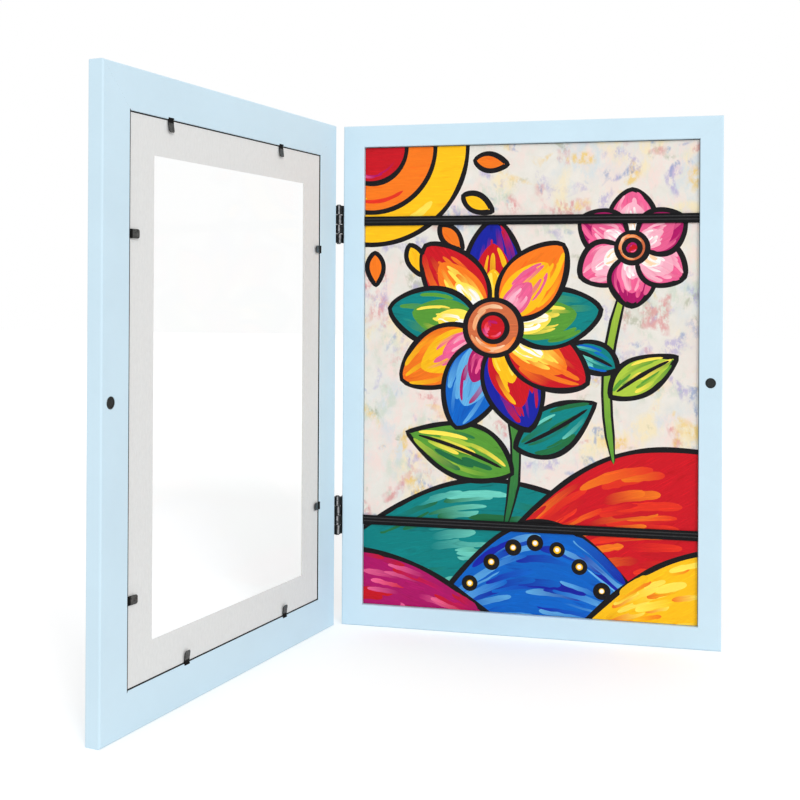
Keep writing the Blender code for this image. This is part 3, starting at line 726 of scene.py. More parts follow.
def lacquer_with_painted_highlight(name, half):
    """Black lacquer on steel, with a painted highlight: a ragged streak of bare grey steel down the front
    of the knuckles.
    """
    look = Look(name, (0.004, 0.004, 0.004), 0.16, specular=0.30)
    grain = look.grain(900, 4.0, 0.65)
    place = look.add("SeparateXYZ", look.place).outputs
    off_crest = look.maths("ABSOLUTE", look.maths("SUBTRACT", place["X"], PIN.x + HIGHLIGHT_OFFSETS[half]))
    ragged = look.gloss(look.grain(420, 6.0, 0.75), -HIGHLIGHT_RAGGED, HIGHLIGHT_RAGGED)
    off_streak = look.maths("ADD", off_crest, ragged)
    crest = look.between(off_streak, HIGHLIGHT_HALF_WIDTH + HIGHLIGHT_FADE, HIGHLIGHT_HALF_WIDTH)
    ahead = look.between(place["Y"], PIN.y - PIN_RADIUS, PIN.y - PIN_RADIUS - HIGHLIGHT_FADE)
    # Painted highlight: bare metal, light grey, in a streak on the knuckles' front
    painted_highlight = look.product(crest, ahead, look.between(grain, 0.34, 0.46))
    tone = look.mixed(painted_highlight, look.toned(grain, 0.40, 0.75, 1.0, 2.5), (0.32, 0.32, 0.33))
    look.relief(grain, LACQUER_RELIEF)
    return look.drive(Base_Color=tone, Metallic=painted_highlight, Roughness=look.gloss(grain, 0.13, 0.21))


def elastic_weave(name, colour, pick):
    """Woven elastic: lengthwise ribs from the shape, and cross threads from the weave."""
    look = Look(name, colour, 0.9, specular=0.12)
    weave = look.add("TexWave", look.place, pick, 1.2, 2.0, wave_profile="SIN").outputs["Fac"]
    fuzz = look.grain(5200, 4.0, 0.7)
    tone = look.toned(weave, 0.2, 0.8, 0.45, 1.5)
    tone = look.mixed(look.between(fuzz, 0.45, 0.75), tone, shade(colour, 2.4))
    look.relief(weave, WEAVE_RELIEF)
    look.relief(fuzz, FIBRE_RELIEF)
    return look.drive(Base_Color=tone)


def plain_paper():
    """Off-white paper of the stacked sheets."""
    look = Look("stacked_paper", linear((240, 237, 229)), 0.9)
    sheets = look.grain(40, 1.0, 0.5, look.scaled(0.2, 90, 0.2))
    look.relief(look.grain(2600, 4.0, 0.7), ORANGE_PEEL)
    return look.drive(Base_Color=look.toned(sheets, 0.35, 0.65, 0.82, 1.02))


def painted_ground():
    """Cream ground of the painting: soft tinted areas, and dry broken marks over them."""
    look = Look("scumbled_ground", linear(INKS["cream"]), 0.55, specular=0.2)
    tone = look.mixed(look.gloss(look.grain(90, 5.0, 0.7), 0.0, 1.0), look.colour, linear(INKS["bone"]))
    for number, (ink, scale, low, high, strength, dry) in enumerate(GROUND_LAYERS):
        x, z = [shift * number for shift in LAYER_SHIFTS]
        place = look.add("Mapping", look.place, (x, 0, z)).outputs["Vector"]
        patch = look.between(look.grain(scale, 2.0, 0.5, place, 0.6), low, high)
        broken = look.between(look.grain(dry, 4.0, 0.7, look.scaled(1, 1, 0.6, place)), 0.42, 0.58)
        tone = look.mixed(look.product(patch, broken, strength), tone, linear(INKS[ink]))
    bristle = look.grain(300, 6.0, 0.7, look.scaled(1, 1, 0.55))
    look.relief(bristle, GROUND_RELIEF)
    return look.drive(Base_Color=tone, Roughness=look.gloss(bristle, 0.42, 0.62))


def acrylic_paint():
    """Acrylic brush strokes: each face has its stroke's colour and its stroke's direction."""
    look = Look("acrylic_strokes", (0.5, 0.5, 0.5), 0.42, specular=0.16)
    colour = look.add("Attribute", attribute_name="paint").outputs["Color"]
    stroke = look.add("UVMap", uv_map="stroke").outputs["UV"]
    bristles = look.grain(1.0, 4.0, 0.65, look.scaled(60, 1500, 1, stroke), 0.3)
    wet = look.grain(1.0, 3.0, 0.6, look.scaled(45, 220, 1, stroke), 0.8)
    light = look.mixed(look.between(bristles, 0.54, 0.80), colour, (1.6, 1.5, 1.4), "MULTIPLY")
    tone = look.mixed(look.between(wet, 0.42, 0.25, 0.0, 0.45), light, colour, "MULTIPLY")
    look.relief(bristles, BRISTLE_RELIEF)
    look.relief(wet, PAINT_RELIEF)
    return look.drive(Base_Color=tone, Roughness=look.gloss(bristles, 0.30, 0.52))


def fibre_board():
    """Brown hardboard behind the paper, with pressed wood fibres."""
    look = Look("brown_fibre_board", linear((140, 104, 72)), 0.75)
    fibres = look.grain(120, 8.0, 0.8, look.scaled(1, 1, 0.3), 1.5)
    flecks = look.between(look.grain(700, 4.0, 0.7, look.scaled(1, 1, 0.4)), 0.58, 0.72, 0.0, 0.5)
    tone = look.mixed(flecks, look.toned(fibres, 0.3, 0.7, 0.72, 1.25), shade(look.colour, 1.8))
    look.relief(fibres, BOARD_RELIEF)
    look.relief(look.grain(1400, 3.0, 0.6), FIBRE_RELIEF)
    return look.drive(Base_Color=tone, Roughness=look.gloss(fibres, 0.62, 0.82))


def zinc_steel():
    """Zinc-plated steel with faint spangle."""
    look = Look("zinc_plated_steel", (0.56, 0.57, 0.59), 0.32, 1.0)
    spangle = look.grain(500, 4.0, 0.6)
    tone = look.toned(spangle, 0.35, 0.65, 0.82, 1.1)
    look.relief(look.grain(3000), ZINC_RELIEF)
    return look.drive(Base_Color=tone, Roughness=look.gloss(spangle, 0.25, 0.42))


PAINT = satin_paint()
MAT_PAPER = mat_paper()
MAT_CORE = mat_core()
PANE = clear_pane()
TAB_STEEL = gunmetal()
# Each half's knuckles get their painted highlight at their own offset
LACQUERS = {"box": lacquer_with_painted_highlight("black_lacquered_steel", "box"),
            "door": lacquer_with_painted_highlight("black_lacquered_door_steel", "door")}
MAGNET_FACE = dark_finish("black_nickel_plate", (0.006, 0.008, 0.008), 0.30, 0.30, 2400, 4.0)
# Near-black finish: painted shade in the door's rebate, on a stile's inner arris and on the mat's outer
# edges, and the tabs' dark edges
SHADE_AND_DARK_EDGE = dark_finish("painted_shade_and_dark_edge", (0.012, 0.012, 0.013), 0.85, 0.10, 1200, 2.0)
ELASTIC = elastic_weave("black_elastic", (0.008, 0.008, 0.009), 700)
GREY_RIB = elastic_weave("grey_elastic_rib", (0.035, 0.035, 0.037), 900)
PAPER = plain_paper()
GROUND = painted_ground()
ACRYLIC = acrylic_paint()
BOARD = fibre_board()
ZINC = zinc_steel()


# Rails


def rail_ends(side, section):
    """Rings round both mitre faces of a rail."""
    if side in LEVEL_SIDES:
        return [[spot(end, side, depth + MITRE_GAP, y, depth) for depth, y in section]
                for end in UPRIGHT_SIDES]
    return [[spot(side, end, depth, y, depth + MITRE_GAP) for depth, y in section]
            for end in LEVEL_SIDES]


def box_section():
    """Section of the tray's rails, with the rebate for the board behind."""
    return rounded([
        (0, BOX_FRONT, EDGE_ROUND),
        (BOX_RAIL_WIDTH, BOX_FRONT, INNER_EDGE_ROUND),
        (BOX_RAIL_WIDTH, BACK_REBATE_Y, 0),
        (BOX_BACK_WIDTH, BACK_REBATE_Y, 0),
        (BOX_BACK_WIDTH, BOX_BACK, 0),
        (0, BOX_BACK, EDGE_ROUND),
    ])


def door_section():
    """Section of the door's rails, with the rebate for the glazing and the mat."""
    return rounded([
        (0, DOOR_INNER, EDGE_ROUND),
        (0, DOOR_OUTER, EDGE_ROUND),
        (SIGHT_WIDTH, DOOR_OUTER, EDGE_ROUND),
        (SIGHT_WIDTH, GLAZING_REBATE_Y, INNER_EDGE_ROUND),
        (DOOR_RAIL_WIDTH, GLAZING_REBATE_Y, 0),
        (DOOR_RAIL_WIDTH, DOOR_INNER, INNER_EDGE_ROUND),
        # Edge of the strip of painted shade beside the inner arris
        (DOOR_RAIL_WIDTH - INNER_EDGE_ROUND - ARRIS_SHADE, DOOR_INNER, 0),
    ])


def corner_nail_cut(node):
    """Cut for a V-nail, a gap wider than the nail on every side."""
    low, high = corners(node)
    sides = [min(pair, key=lambda side: inset(side, low)) for pair in (UPRIGHT_SIDES, LEVEL_SIDES)]
    x, z = [min(inset(side, low), inset(side, high)) - SEAT_GAP for side in sides]
    wall = CORNER_NAIL_THICKNESS + SEAT_GAP * 2
    far = high.x - low.x + SEAT_GAP * 2
    outline = [(0, 0), (far, 0), (far, wall), (wall, wall), (wall, far), (0, far)]
    return lofted([[spot(*sides, x + across, y, z + up) for across, up in outline]
                   for y in (low.y - SEAT_GAP, high.y + SEAT_GAP)])


def band_slot(height):
    """Cut for both ends of a band."""
    low, high = corners(f"elastic_band_{height}")
    room = Vector((SEAT_GAP, SEAT_GAP, BAND_SLOT_PLAY))
    return block(low - room, high + room)


def tab_place(name):
    """Where a tab turns: +X over the mat, +Y out of the rebate, +Z the line that it bends on."""
    origin = HALVES["door"].inverted() @ Vector(joint(f"{name}_bend")["pos_m"])
    forward = INWARDS[side_of(name)]
    turn = Matrix((forward, BACK, forward.cross(BACK))).transposed().to_4x4()
    return Matrix.Translation(origin) @ turn


def tab_notch(name):
    """Cut round a tab's tongue, narrower in front of it, where only the upright strip needs room."""
    place = tab_place(name)
    half = (TAB_WIDTH + SEAT_GAP) / 2
    reach = TAB_TONGUE + SEAT_GAP
    cover_y = TAB_THICKNESS / 2 + SEAT_GAP
    nick = TAB_THICKNESS / 2 + SEAT_GAP / 3
    high_y = DOOR_INNER - place.translation.y + CUT_OVERRUN
    outline = [(CUT_OVERRUN, -reach), (CUT_OVERRUN, high_y), (-nick, high_y), (-nick, cover_y),
               (-reach, cover_y), (-reach, -reach)]
    return moved(prism(outline, -half, half), place)


def rail_cuts(half, side):
    """Cuts in one rail for all that it holds."""
    nails = numbered(f"{half}_corner_nail", 4)
    cuts = [corner_nail_cut(node) for node in nails if inset(side, middle(node)) < SIGHT_WIDTH]
    magnet = f"{half}_magnet"
    held = [
        (numbered(f"{half}_screw", 4), SCREW_WAY, SCREW_SHANK_RADIUS + SEAT_GAP, SMALL_SIDES),
        ([magnet], MAGNET_WAYS[half], (span(magnet).x + SEAT_GAP) / 2, FINE_SIDES),
    ]
    if half == "door":
        cuts += [tab_notch(name) for name in TABS if side_of(name) == side]
    else:
        cuts += [band_slot(height) for height in HEIGHTS if side in UPRIGHT_SIDES]
        held.append((BACK_NAILS, BACK, NAIL_SHANK_RADIUS + SEAT_GAP, SMALL_SIDES))
    for nodes, *sizes in held:
        cuts += [bore(node, *sizes) for node in nodes if side_of(node) == side]
    return cuts


def paint_shade_in_rebate(rail, side):
    """Gives painted shade, a near-black finish, to the faces that look into the door's rebate and its tab
    notches, and to one stile's inner arris.
    """
    for face in rail.faces:
        centre = face.calc_center_median()
        depth = inset(side, centre)
        in_front = centre.y > DOOR_INNER - INNER_EDGE_ROUND - MERGE_DISTANCE
        on_arris = in_front and face.normal.y > ARRIS_LEAN_SHARE
        in_rebate = centre.y > GLAZING_REBATE_Y - SEAT_GAP / 2 and not on_arris
        within = depth > DOOR_RAIL_WIDTH - TAB_TONGUE - SEAT_GAP * 2
        shaded_arris = side == SHADED_SIDE and depth > DOOR_RAIL_WIDTH - INNER_EDGE_ROUND - ARRIS_SHADE
        # Painted shade: near black where the gap round the mat lies in shadow
        face.material_index = 1 if (within and in_rebate) or (shaded_arris and on_arris) else 0


def build_rails():
    """Both halves' rails, their mitres glued shut under the paint."""
    for half, section in (("box", box_section()), ("door", door_section())):
        for side in SIDES:
            rail = carved(lofted(rail_ends(side, section)), rail_cuts(half, side))
            if half == "door":
                paint_shade_in_rebate(rail, side)
            node = f"{half}_{side}_{'rail' if side in LEVEL_SIDES else 'stile'}"
            piece(f"painted_{node}", rail, "blue_paint", node, PAINT, SHADE_AND_DARK_EDGE)


# The door's filling


def mat_window():
    """Lowest and highest corner of the mat's window on its inner face."""
    points = points_of("door_mat")
    low, high = extent(points)
    return extent([point for point in points if high.y - point.y < SEAT_GAP
                   and SEAT_GAP < point.x - low.x and SEAT_GAP < high.x - point.x])


def build_mat():
    """Mat board: paper faces, a white core, and a window cut on the slant."""
    low, high = corners("door_mat")
    opening_low, opening_high = mat_window()
    slant = Vector((1, 0, 1)) * (high.y - low.y)
    loops = [(low, high, low.y), (low, high, high.y), (opening_low, opening_high, high.y),
             (opening_low - slant, opening_high + slant, low.y)]
    rings = [[(x, y, z) for x, z in rectangle(least.xz, most.xz)] for least, most, y in loops]
    board = lofted(rings, closed=True)
    for face in board.faces:
        # Outer edges in the rebate's gap get painted shade, near black; the slanted window shows the white
        # core
        lean = abs(face.normal.y)
        face.material_index = 0 if lean > FLAT_SHARE else 1 if lean > SLANTED_SHARE else 2
    piece("mat_board_cut", board, "mat_board", "door_mat", MAT_PAPER, MAT_CORE, SHADE_AND_DARK_EDGE)


def build_glazing():
    """Clear pane with polished edges."""
    pane = block(*corners("door_glazing"))
    piece("acrylic_pane", pane, "clear_glazing", "door_glazing", PANE, bevel=PANE_PLAY / 2)


def level_reach(name):
    """How far an upright side's tab reaches from the line that it bends on."""
    bend = Vector(joint(f"{name}_bend")["pos_m"])
    ways = [vertex.co - bend for vertex in frame["nodes"][name].data.vertices]
    return max(ways, key=lambda way: way.length).to_2d().length


TAB_REACH = level_reach("tab_hinge_side_1")


def tab_strip():
    """Steel strip: rounded tip, a slight curl along its length, and a flat tongue."""
    thick = TAB_THICKNESS / 2
    rings = []
    for step in range(TAB_STEPS + 1):
        x = -TAB_TONGUE + (TAB_REACH + TAB_TONGUE) * (1 - (1 - step / TAB_STEPS) ** TAB_STEP_EASE)
        over = max(x - (TAB_REACH - TAB_ROUND), 0) / TAB_ROUND
        wide = TAB_WIDTH / 2 - TAB_ROUND * (1 - math.sqrt(max(1 - over * over, 0)))
        rise = TAB_CURL * (max(x, 0) / TAB_REACH) ** 2
        rings.append([(x, rise - thick, -wide), (x, rise + thick, -wide), (x, rise + thick, wide),
                      (x, rise - thick, wide)])
    solid = lofted(rings)
    # Share of painted shade at each point, full where the strip comes out of the rebate
    root = solid.verts.layers.float.new("root")
    for vertex in solid.verts:
        vertex[root] = min(max((TAB_ROOT_SHADE - vertex.co.x) / TAB_ROOT_SHADE_FADE + 0.5, 0), 1)
    for face in solid.faces:
        face.material_index = 0 if abs(face.normal.y) > FLAT_SHARE else 1
    return solid


def build_tabs():
    """Every tab, lifted as it stands at rest, on a body of its own."""
    for name in TABS:
        lift = -math.radians(joint(f"{name}_bend")["range_deg"][0])
        place = tab_place(name) @ Matrix.Rotation(lift, 4, "Z")
        strip = moved(tab_strip(), place)
        piece(f"steel_{name}", strip, "tab_steel", name, TAB_STEEL, SHADE_AND_DARK_EDGE, bevel=TAB_BEVEL)


# Hinges, screws and magnets


def knuckle(radius, leaf_outer, leaf_inner, joined_y, foot, top):
    """Leaf rolled round the pin between two heights, its ends chamfered."""
    sweep = math.tau - math.acos(leaf_outer / radius)
    angles = [-sweep * step / FINE_SIDES for step in range(FINE_SIDES + 1)]
    rings = []
    for z, chamfer in ((foot, KNUCKLE_CHAMFER), (foot + KNUCKLE_CHAMFER, 0), (top - KNUCKLE_CHAMFER, 0),
                       (top, KNUCKLE_CHAMFER)):
        rolled = radius - chamfer
        outline = [(leaf_inner - chamfer, joined_y), (leaf_inner - chamfer, 0)]
        outline += [(rolled * math.cos(angle), rolled * math.sin(angle)) for angle in angles]
        outline.append((leaf_outer, joined_y))
        rings.append([(x, y, z) for x, y in outline])
    return lofted(rings)


def countersink(node, leaf_outer):
    """Cut for a screw and its head in a leaf."""
    head = span(node).z / 2
    shank = SCREW_SHANK_RADIUS + SEAT_GAP / 2
    cone = turned([(shank, -LEAF_THICKNESS * 2), (shank, shank - head), (head, 0),
                   (head + CUT_OVERRUN, CUT_OVERRUN)])
    return moved(cone, along(SCREW_WAY, (leaf_outer, *middle(node).yz)))


def hinge_leaf(half, height):
    """Leaf with its rolled knuckles and countersunk holes."""
    low, high = corners(f"{half}_leaf_{height}")
    centre_z = middle(f"hinge_pin_{height}").z
    end = span(f"box_leaf_{height}").z / 2
    reach = high.y if half == "box" else -low.y
    radius, leaf_inner = -low.x, high.x
    leaf_outer = leaf_inner - LEAF_THICKNESS
    start = math.sqrt(max((radius + SEAT_GAP) ** 2 - leaf_outer ** 2, 0))
    plate = rounded([(start, -end, 0), (reach, -end, LEAF_ROUND),
                     (reach, end, LEAF_ROUND), (start, end, 0)])
    pitch = (end * 2 + SEAT_GAP) / KNUCKLE_COUNT
    tops = [end - index * pitch for index in range(HALF_NAMES.index(half), KNUCKLE_COUNT, 2)]
    knuckles = [knuckle(radius, leaf_outer, leaf_inner, (start + reach) / 2, top - pitch + SEAT_GAP, top)
                for top in tops]
    leaf = lofted([[(x, y, z) for y, z in plate] for x in (leaf_outer, leaf_inner)])
    hole = PIN_RADIUS + SEAT_GAP / 3
    leaf = carved(combined(leaf, knuckles, "UNION"), [turned([(hole, -end * 2), (hole, end * 2)])])
    facing = Matrix.Scale(1 if half == "box" else -1, 4, BACK)
    leaf = moved(leaf, Matrix.Translation((0, 0, centre_z)) @ facing)
    bmesh.ops.recalc_face_normals(leaf, faces=leaf.faces)
    held = [node for node in numbered(f"{half}_screw", 4) if abs(middle(node).z - centre_z) < end]
    return carved(leaf, [countersink(node, leaf_outer) for node in held])


def screw(node):
    """Countersunk screw with a crowned head and a cross recess."""
    length, head = span(node).x, span(node).z / 2
    profile = [
        (SCREW_SHANK_RADIUS * SCREW_POINT_SHARE, -length),
        (SCREW_SHANK_RADIUS, -length * SCREW_TAPER_SHARE),
        (SCREW_SHANK_RADIUS, SCREW_SHANK_RADIUS - head),
        (head, 0),
    ]
    profile += [(head * across, SCREW_CROWN * up) for across, up in SCREW_CROWN_SHARES]
    arm, slot = DRIVE_ARM, DRIVE_SLOT / 2
    quarter = [(arm, -slot), (arm, slot), (slot, slot)]
    cross = []
    for _ in range(4):
        cross += quarter
        quarter = [(-y, x) for x, y in quarter]
    turn = Matrix.Rotation(math.radians(SCREW_TURN_DEGREES * int(node[-1])), 4, "Z")
    body = carved(turned(profile), [moved(prism(cross, -DRIVE_DEPTH, CUT_OVERRUN), turn)])
    return moved(body, outer_face(node, SCREW_WAY))


def hinge_pin(node):
    """Pin with domed ends."""
    head = span(node).x / 2
    cap = head - PIN_RADIUS
    neck = span(node).z / 2 - cap
    angles = [math.radians(PIN_DOME_DEGREES * step / PIN_DOME_STEPS) for step in range(PIN_DOME_STEPS + 1)]
    dome = [(head * math.cos(angle), neck + cap * math.sin(angle)) for angle in angles]
    foot = [(radius, -height) for radius, height in reversed(dome)]
    profile = foot + [(PIN_RADIUS, -neck), (PIN_RADIUS, neck)] + dome
    return moved(turned(profile), Matrix.Translation(middle(node)))


def build_hinges():
    """Both hinges with their pins and screws."""
    parts = []
    for height in HEIGHTS:
        parts += [(f"{half}_leaf_{height}", hinge_leaf(half, height), LEAF_BEVEL) for half in HALF_NAMES]
        parts.append((f"hinge_pin_{height}", hinge_pin(f"hinge_pin_{height}"), 0))
    for half in HALF_NAMES:
        parts += [(node, screw(node), 0) for node in numbered(f"{half}_screw", 4)]
    for node, solid, bevel in parts:
        half = "door" if node.startswith("door_leaf") else "box"
        piece(f"lacquered_{node}", solid, "black_metal", node, LACQUERS[half], bevel=bevel)


def build_magnets():
    """Round magnets, each a cup's rim, a fine groove and a core that lies a little lower."""
    groove = MAGNET_GROOVE_WIDTH
    for half in HALF_NAMES:
        node = f"{half}_magnet"
        radius = span(node).x / 2
        core = radius * MAGNET_CORE_SHARE
        body = turned([
            (radius, -span(node).y),
            (radius, -MAGNET_CHAMFER),
            (radius - MAGNET_CHAMFER, 0),
            (core + groove, 0),
            (core + groove, -MAGNET_GROOVE_DEPTH),
            (core, -MAGNET_GROOVE_DEPTH),
            (core, -groove / 2),
            (core - groove, -groove / 4),
        ], FINE_SIDES)
        body = moved(body, outer_face(node, MAGNET_WAYS[half]))
        piece(f"plated_{node}", body, "magnet_metal", node, MAGNET_FACE)


# Bands and paper


def build_bands():
    """Elastic bands: crowned ribs along their length, the fronts of two of them lighter grey."""
    for height in HEIGHTS:
        node = f"elastic_band_{height}"
        low, high = corners(node)
        pitch = (high.z - low.z) / BAND_RIBS
        front = low.y + BAND_RIB_DEPTH
        outline = [(high.y, low.z)]
        for number in range(BAND_RIBS * BAND_RIB_STEPS + 1):
            place = number / BAND_RIB_STEPS
            crown = BAND_RIB_DEPTH * abs(math.sin(math.pi * place))
            outline.append((front - crown, low.z + place * pitch))
        outline.append((high.y, high.z))
        solid = lofted([[(x, y, z) for y, z in outline] for x in (low.x, high.x)])
        for face in solid.faces:
            centre = face.calc_center_median()
            on_front = centre.y < front and abs(face.normal.x) < SLANTED_SHARE
            rib = int((centre.z - low.z) / pitch)
            face.material_index = 1 if on_front and rib in BAND_GREY_RIBS else 0
        piece(f"woven_{node}", solid, "elastic", node, ELASTIC, GREY_RIB)


def build_stack():
    """Loose sheets behind the top one, each a little off its neighbours."""
    chance = random.Random(DESIGN_SEED)
    low, high = corners("paper_stack")
    pitch = (high.y - low.y) / STACK_SHEETS
    sheets = []
    for number in range(STACK_SHEETS):
        shift = SHEET_SHIFT * chance.uniform(*SHEET_SHIFT_SHARES) * (1 if number % 2 else -1)
        lift = SHEET_LIFT * (chance.uniform(*SHEET_LIFT_SHARES) if number % 3 else SHEET_DROP_SHARE)
        front = low.y + number * pitch
        back = front + pitch * SHEET_THICKNESS_SHARE
        sheets.append(block((low.x + shift, front, low.z), (high.x + shift, back, high.z + lift)))
    piece("loose_sheets", merged(sheets), "paper", "paper_stack", PAPER)


# The painted design: flat shapes in painting order on the top sheet


class Canvas:
    """Shapes in painting order, to be cut from each other into one flat sheet."""

    def __init__(self, width, height):
        self.width = width
        self.chance = random.Random(DESIGN_SEED)
        self.shapes = []
        self.add([(0, 0), (1, 0), (1, height / width), (0, height / width)], "cream")

    def add(self, outline, ink, end_ink=None, axis=None):
        """One shape in shares of the sheet's width, its colour running from one ink to another."""
        points = [tuple(Vector(point) * self.width) for point in outline]
        ends = [Vector(end) * self.width for end in axis or (outline[0], outline[len(outline) // 2])]
        self.shapes.append((points, ink, end_ink or ink, *ends))

    def inked(self, outline, ink, axis=None):
        """A shape with a black line round it."""
        self.add(grown(outline, INK_SHARE), "ink", axis=axis)
        self.add(grown(outline, -INK_SHARE), ink, axis=axis)

    def strokes(self, patch, inks, count, width, length, span=0.8):
        """Brush strokes laid along a patch, their colours drawn from some inks."""
        first, last = STROKE_ENDS_SHARES
        for number in range(count):
            across = -span + 2 * span * (number + self.chance.uniform(*STROKE_PLACE_SHARES)) / count
            start = self.chance.uniform(first, last - length)
            run = min(start + length * self.chance.uniform(*STROKE_LENGTH_SHARES), last) - start
            shares = [start + run * step / (STROKE_POINTS - 1) for step in range(STROKE_POINTS)]
            line = [Vector(patch(share, across)) for share in shares]
            ink, end_ink = self.chance.choice(inks), self.chance.choice(inks)
            self.add(ribbon(line, width * self.chance.uniform(*STROKE_WIDTH_SHARES)), ink, end_ink)


def spoke(degrees):
    """Direction at an angle."""
    return Vector((math.cos(math.radians(degrees)), math.sin(math.radians(degrees))))


def ribbon(line, width):
    """Outline of a brush stroke along a line, with rounded, slightly ragged ends."""
    left, right = [], []
    last = len(line) - 1
    for step in range(STROKE_STEPS + 1):
        share = (1 - math.cos(math.pi * step / STROKE_STEPS)) / 2
        index = min(int(share * last), last - 1)
        point = line[index].lerp(line[index + 1], share * last - index)
        way = line[index + 1] - line[index]
        side = Vector((-way.y, way.x)).normalized()
        ragged = 1 + STROKE_RAGGED_SHARE * noise.noise((point * STROKE_WAVES).to_3d())
        half = width / 2 * max(1 - (2 * share - 1) ** STROKE_BLUNTNESS, 0) ** 0.5 * ragged
        left.append(tuple(point + side * half))
        right.append(tuple(point - side * half))
    return left + right[-2:0:-1]


def grown(outline, distance):
    """Outline moved outwards by a distance that swells and thins as a brush does."""
    area = sum(a[0] * b[1] - b[0] * a[1] for a, b in zip(outline, outline[1:] + outline[:1]))
    facing = 1 if area > 0 else -1
    result = []
    for index, point in enumerate(outline):
        way = (Vector(outline[(index + 1) % len(outline)]) - Vector(outline[index - 1])).normalized()
        swell = 1 + OUTLINE_SWELL_SHARE * noise.noise((Vector(point) * OUTLINE_WAVES).to_3d())
        result.append(tuple(Vector(point) + Vector((way.y, -way.x)) * facing * distance * swell))
    return result


def blade(base, degrees, length, half_width, taper, bend=0.0):
    """Patch of a petal or a leaf: along its rib from 0 to 1, across it from -1 to 1."""
    way, side = spoke(degrees), spoke(degrees).orthogonal()

    def patch(along_rib, across):
        wide = half_width * max(math.sin(math.pi * along_rib ** PETAL_LEAN), 0) ** taper
        return Vector(base) + way * length * along_rib + side * (across * wide + bend * along_rib ** 2)
    return patch


def ring(centre, inner, outer):
    """Patch of a ring round a centre: round it from 0 to 1, outwards from -1 to 1."""
    def patch(round_it, outwards):
        return Vector(centre) + spoke(360 * round_it) * (inner + (outer - inner) * (outwards + 1) / 2)
    return patch


def hill(left, right, left_height, right_height, bulge):
    """Patch of a hill: from left to right, and from below the sheet's foot to the hill's crest."""
    def patch(along_foot, up):
        crest = left_height + (right_height - left_height) * along_foot
        crest += bulge * math.sin(math.pi * along_foot)
        height = HILL_FOOT_SHARE + (crest - HILL_FOOT_SHARE) * (up + 1) / 2
        return Vector((left + (right - left) * along_foot, height))
    return patch


def border(patch, steps=40):
    """Outline of a patch."""
    shares = [step / steps for step in range(steps + 1)]
    edge = [tuple(patch(share, -1)) for share in shares]
    edge += [tuple(patch(share, 1)) for share in reversed(shares)]
    kept = []
    for point in edge:
        if not kept or (Vector(point) - Vector(kept[-1])).length > CLOSE_SHARE:
            kept.append(point)
    if (Vector(kept[0]) - Vector(kept[-1])).length < CLOSE_SHARE:
        kept.pop()
    return kept


def circle(centre, radius, steps=96):
    """Outline of a circle."""
    return [(centre[0] + radius * math.cos(math.tau * step / steps),
             centre[1] + radius * math.sin(math.tau * step / steps)) for step in range(steps)]


def paint_flower(canvas, centre, petals, length, half_width, schemes, heart):
    """Flower whose petals have nested colours, round a heart of rings."""
    for number in range(petals):
        degrees = 90 + 360 * number / petals
        base = Vector(centre) + spoke(degrees) * heart * 0.6
        inks = schemes[number % len(schemes)]
        for depth, (share, narrowing, count, width, run, reach) in enumerate(PETAL_LAYERS):
            part = blade(base, degrees, length * share, half_width * share * narrowing, PETAL_TAPER)
            paint = canvas.add if depth else canvas.inked
            paint(border(part), inks[depth], axis=(base, part(1, 0)))
            canvas.strokes(part, inks[depth:depth + 2], count, half_width * width, run, reach)
    for share, ink, rim, inks, count, width, run in HEART_RINGS:
        canvas.inked(circle(centre, heart * share), ink)
        canvas.strokes(ring(centre, heart * rim[0], heart * rim[1]), inks, count, heart * width, run)


def paint_leaf(canvas, base, degrees, length, half_width, inks, bend=0.0):
    """Leaf with a black rib and strokes along it."""
    whole = blade(base, degrees, length, half_width, LEAF_TAPER, bend)
    canvas.inked(border(whole), inks[0], (base, whole(1, 0)))
    canvas.strokes(whole, inks, 12, half_width * 0.2, 0.4)
    rib = [whole(step / RIB_STEPS, 0) for step in range(1, RIB_STEPS)]
    canvas.add(ribbon(rib, RIB_SHARE), "ink")


def paint_hill(canvas, patch, inks, count, width):
    """Hill with strokes that follow its crest."""
    canvas.inked(border(patch), inks[0], (patch(0, 1), patch(1, 1)))
    canvas.strokes(patch, inks, count, width, 0.22, 0.9)


def paint_stem(canvas, start, end, sway, width, inks):
    """Stem that sways on its way up."""
    line = []
    for step in range(STROKE_STEPS + 1):
        share = step / STROKE_STEPS
        swayed = Vector((sway * math.sin(math.pi * share), 0))
        line.append(Vector(start).lerp(Vector(end), share) + swayed)
    canvas.add(ribbon(line, width + 2 * INK_SHARE), "ink")
    canvas.add(ribbon(line, width), *inks)


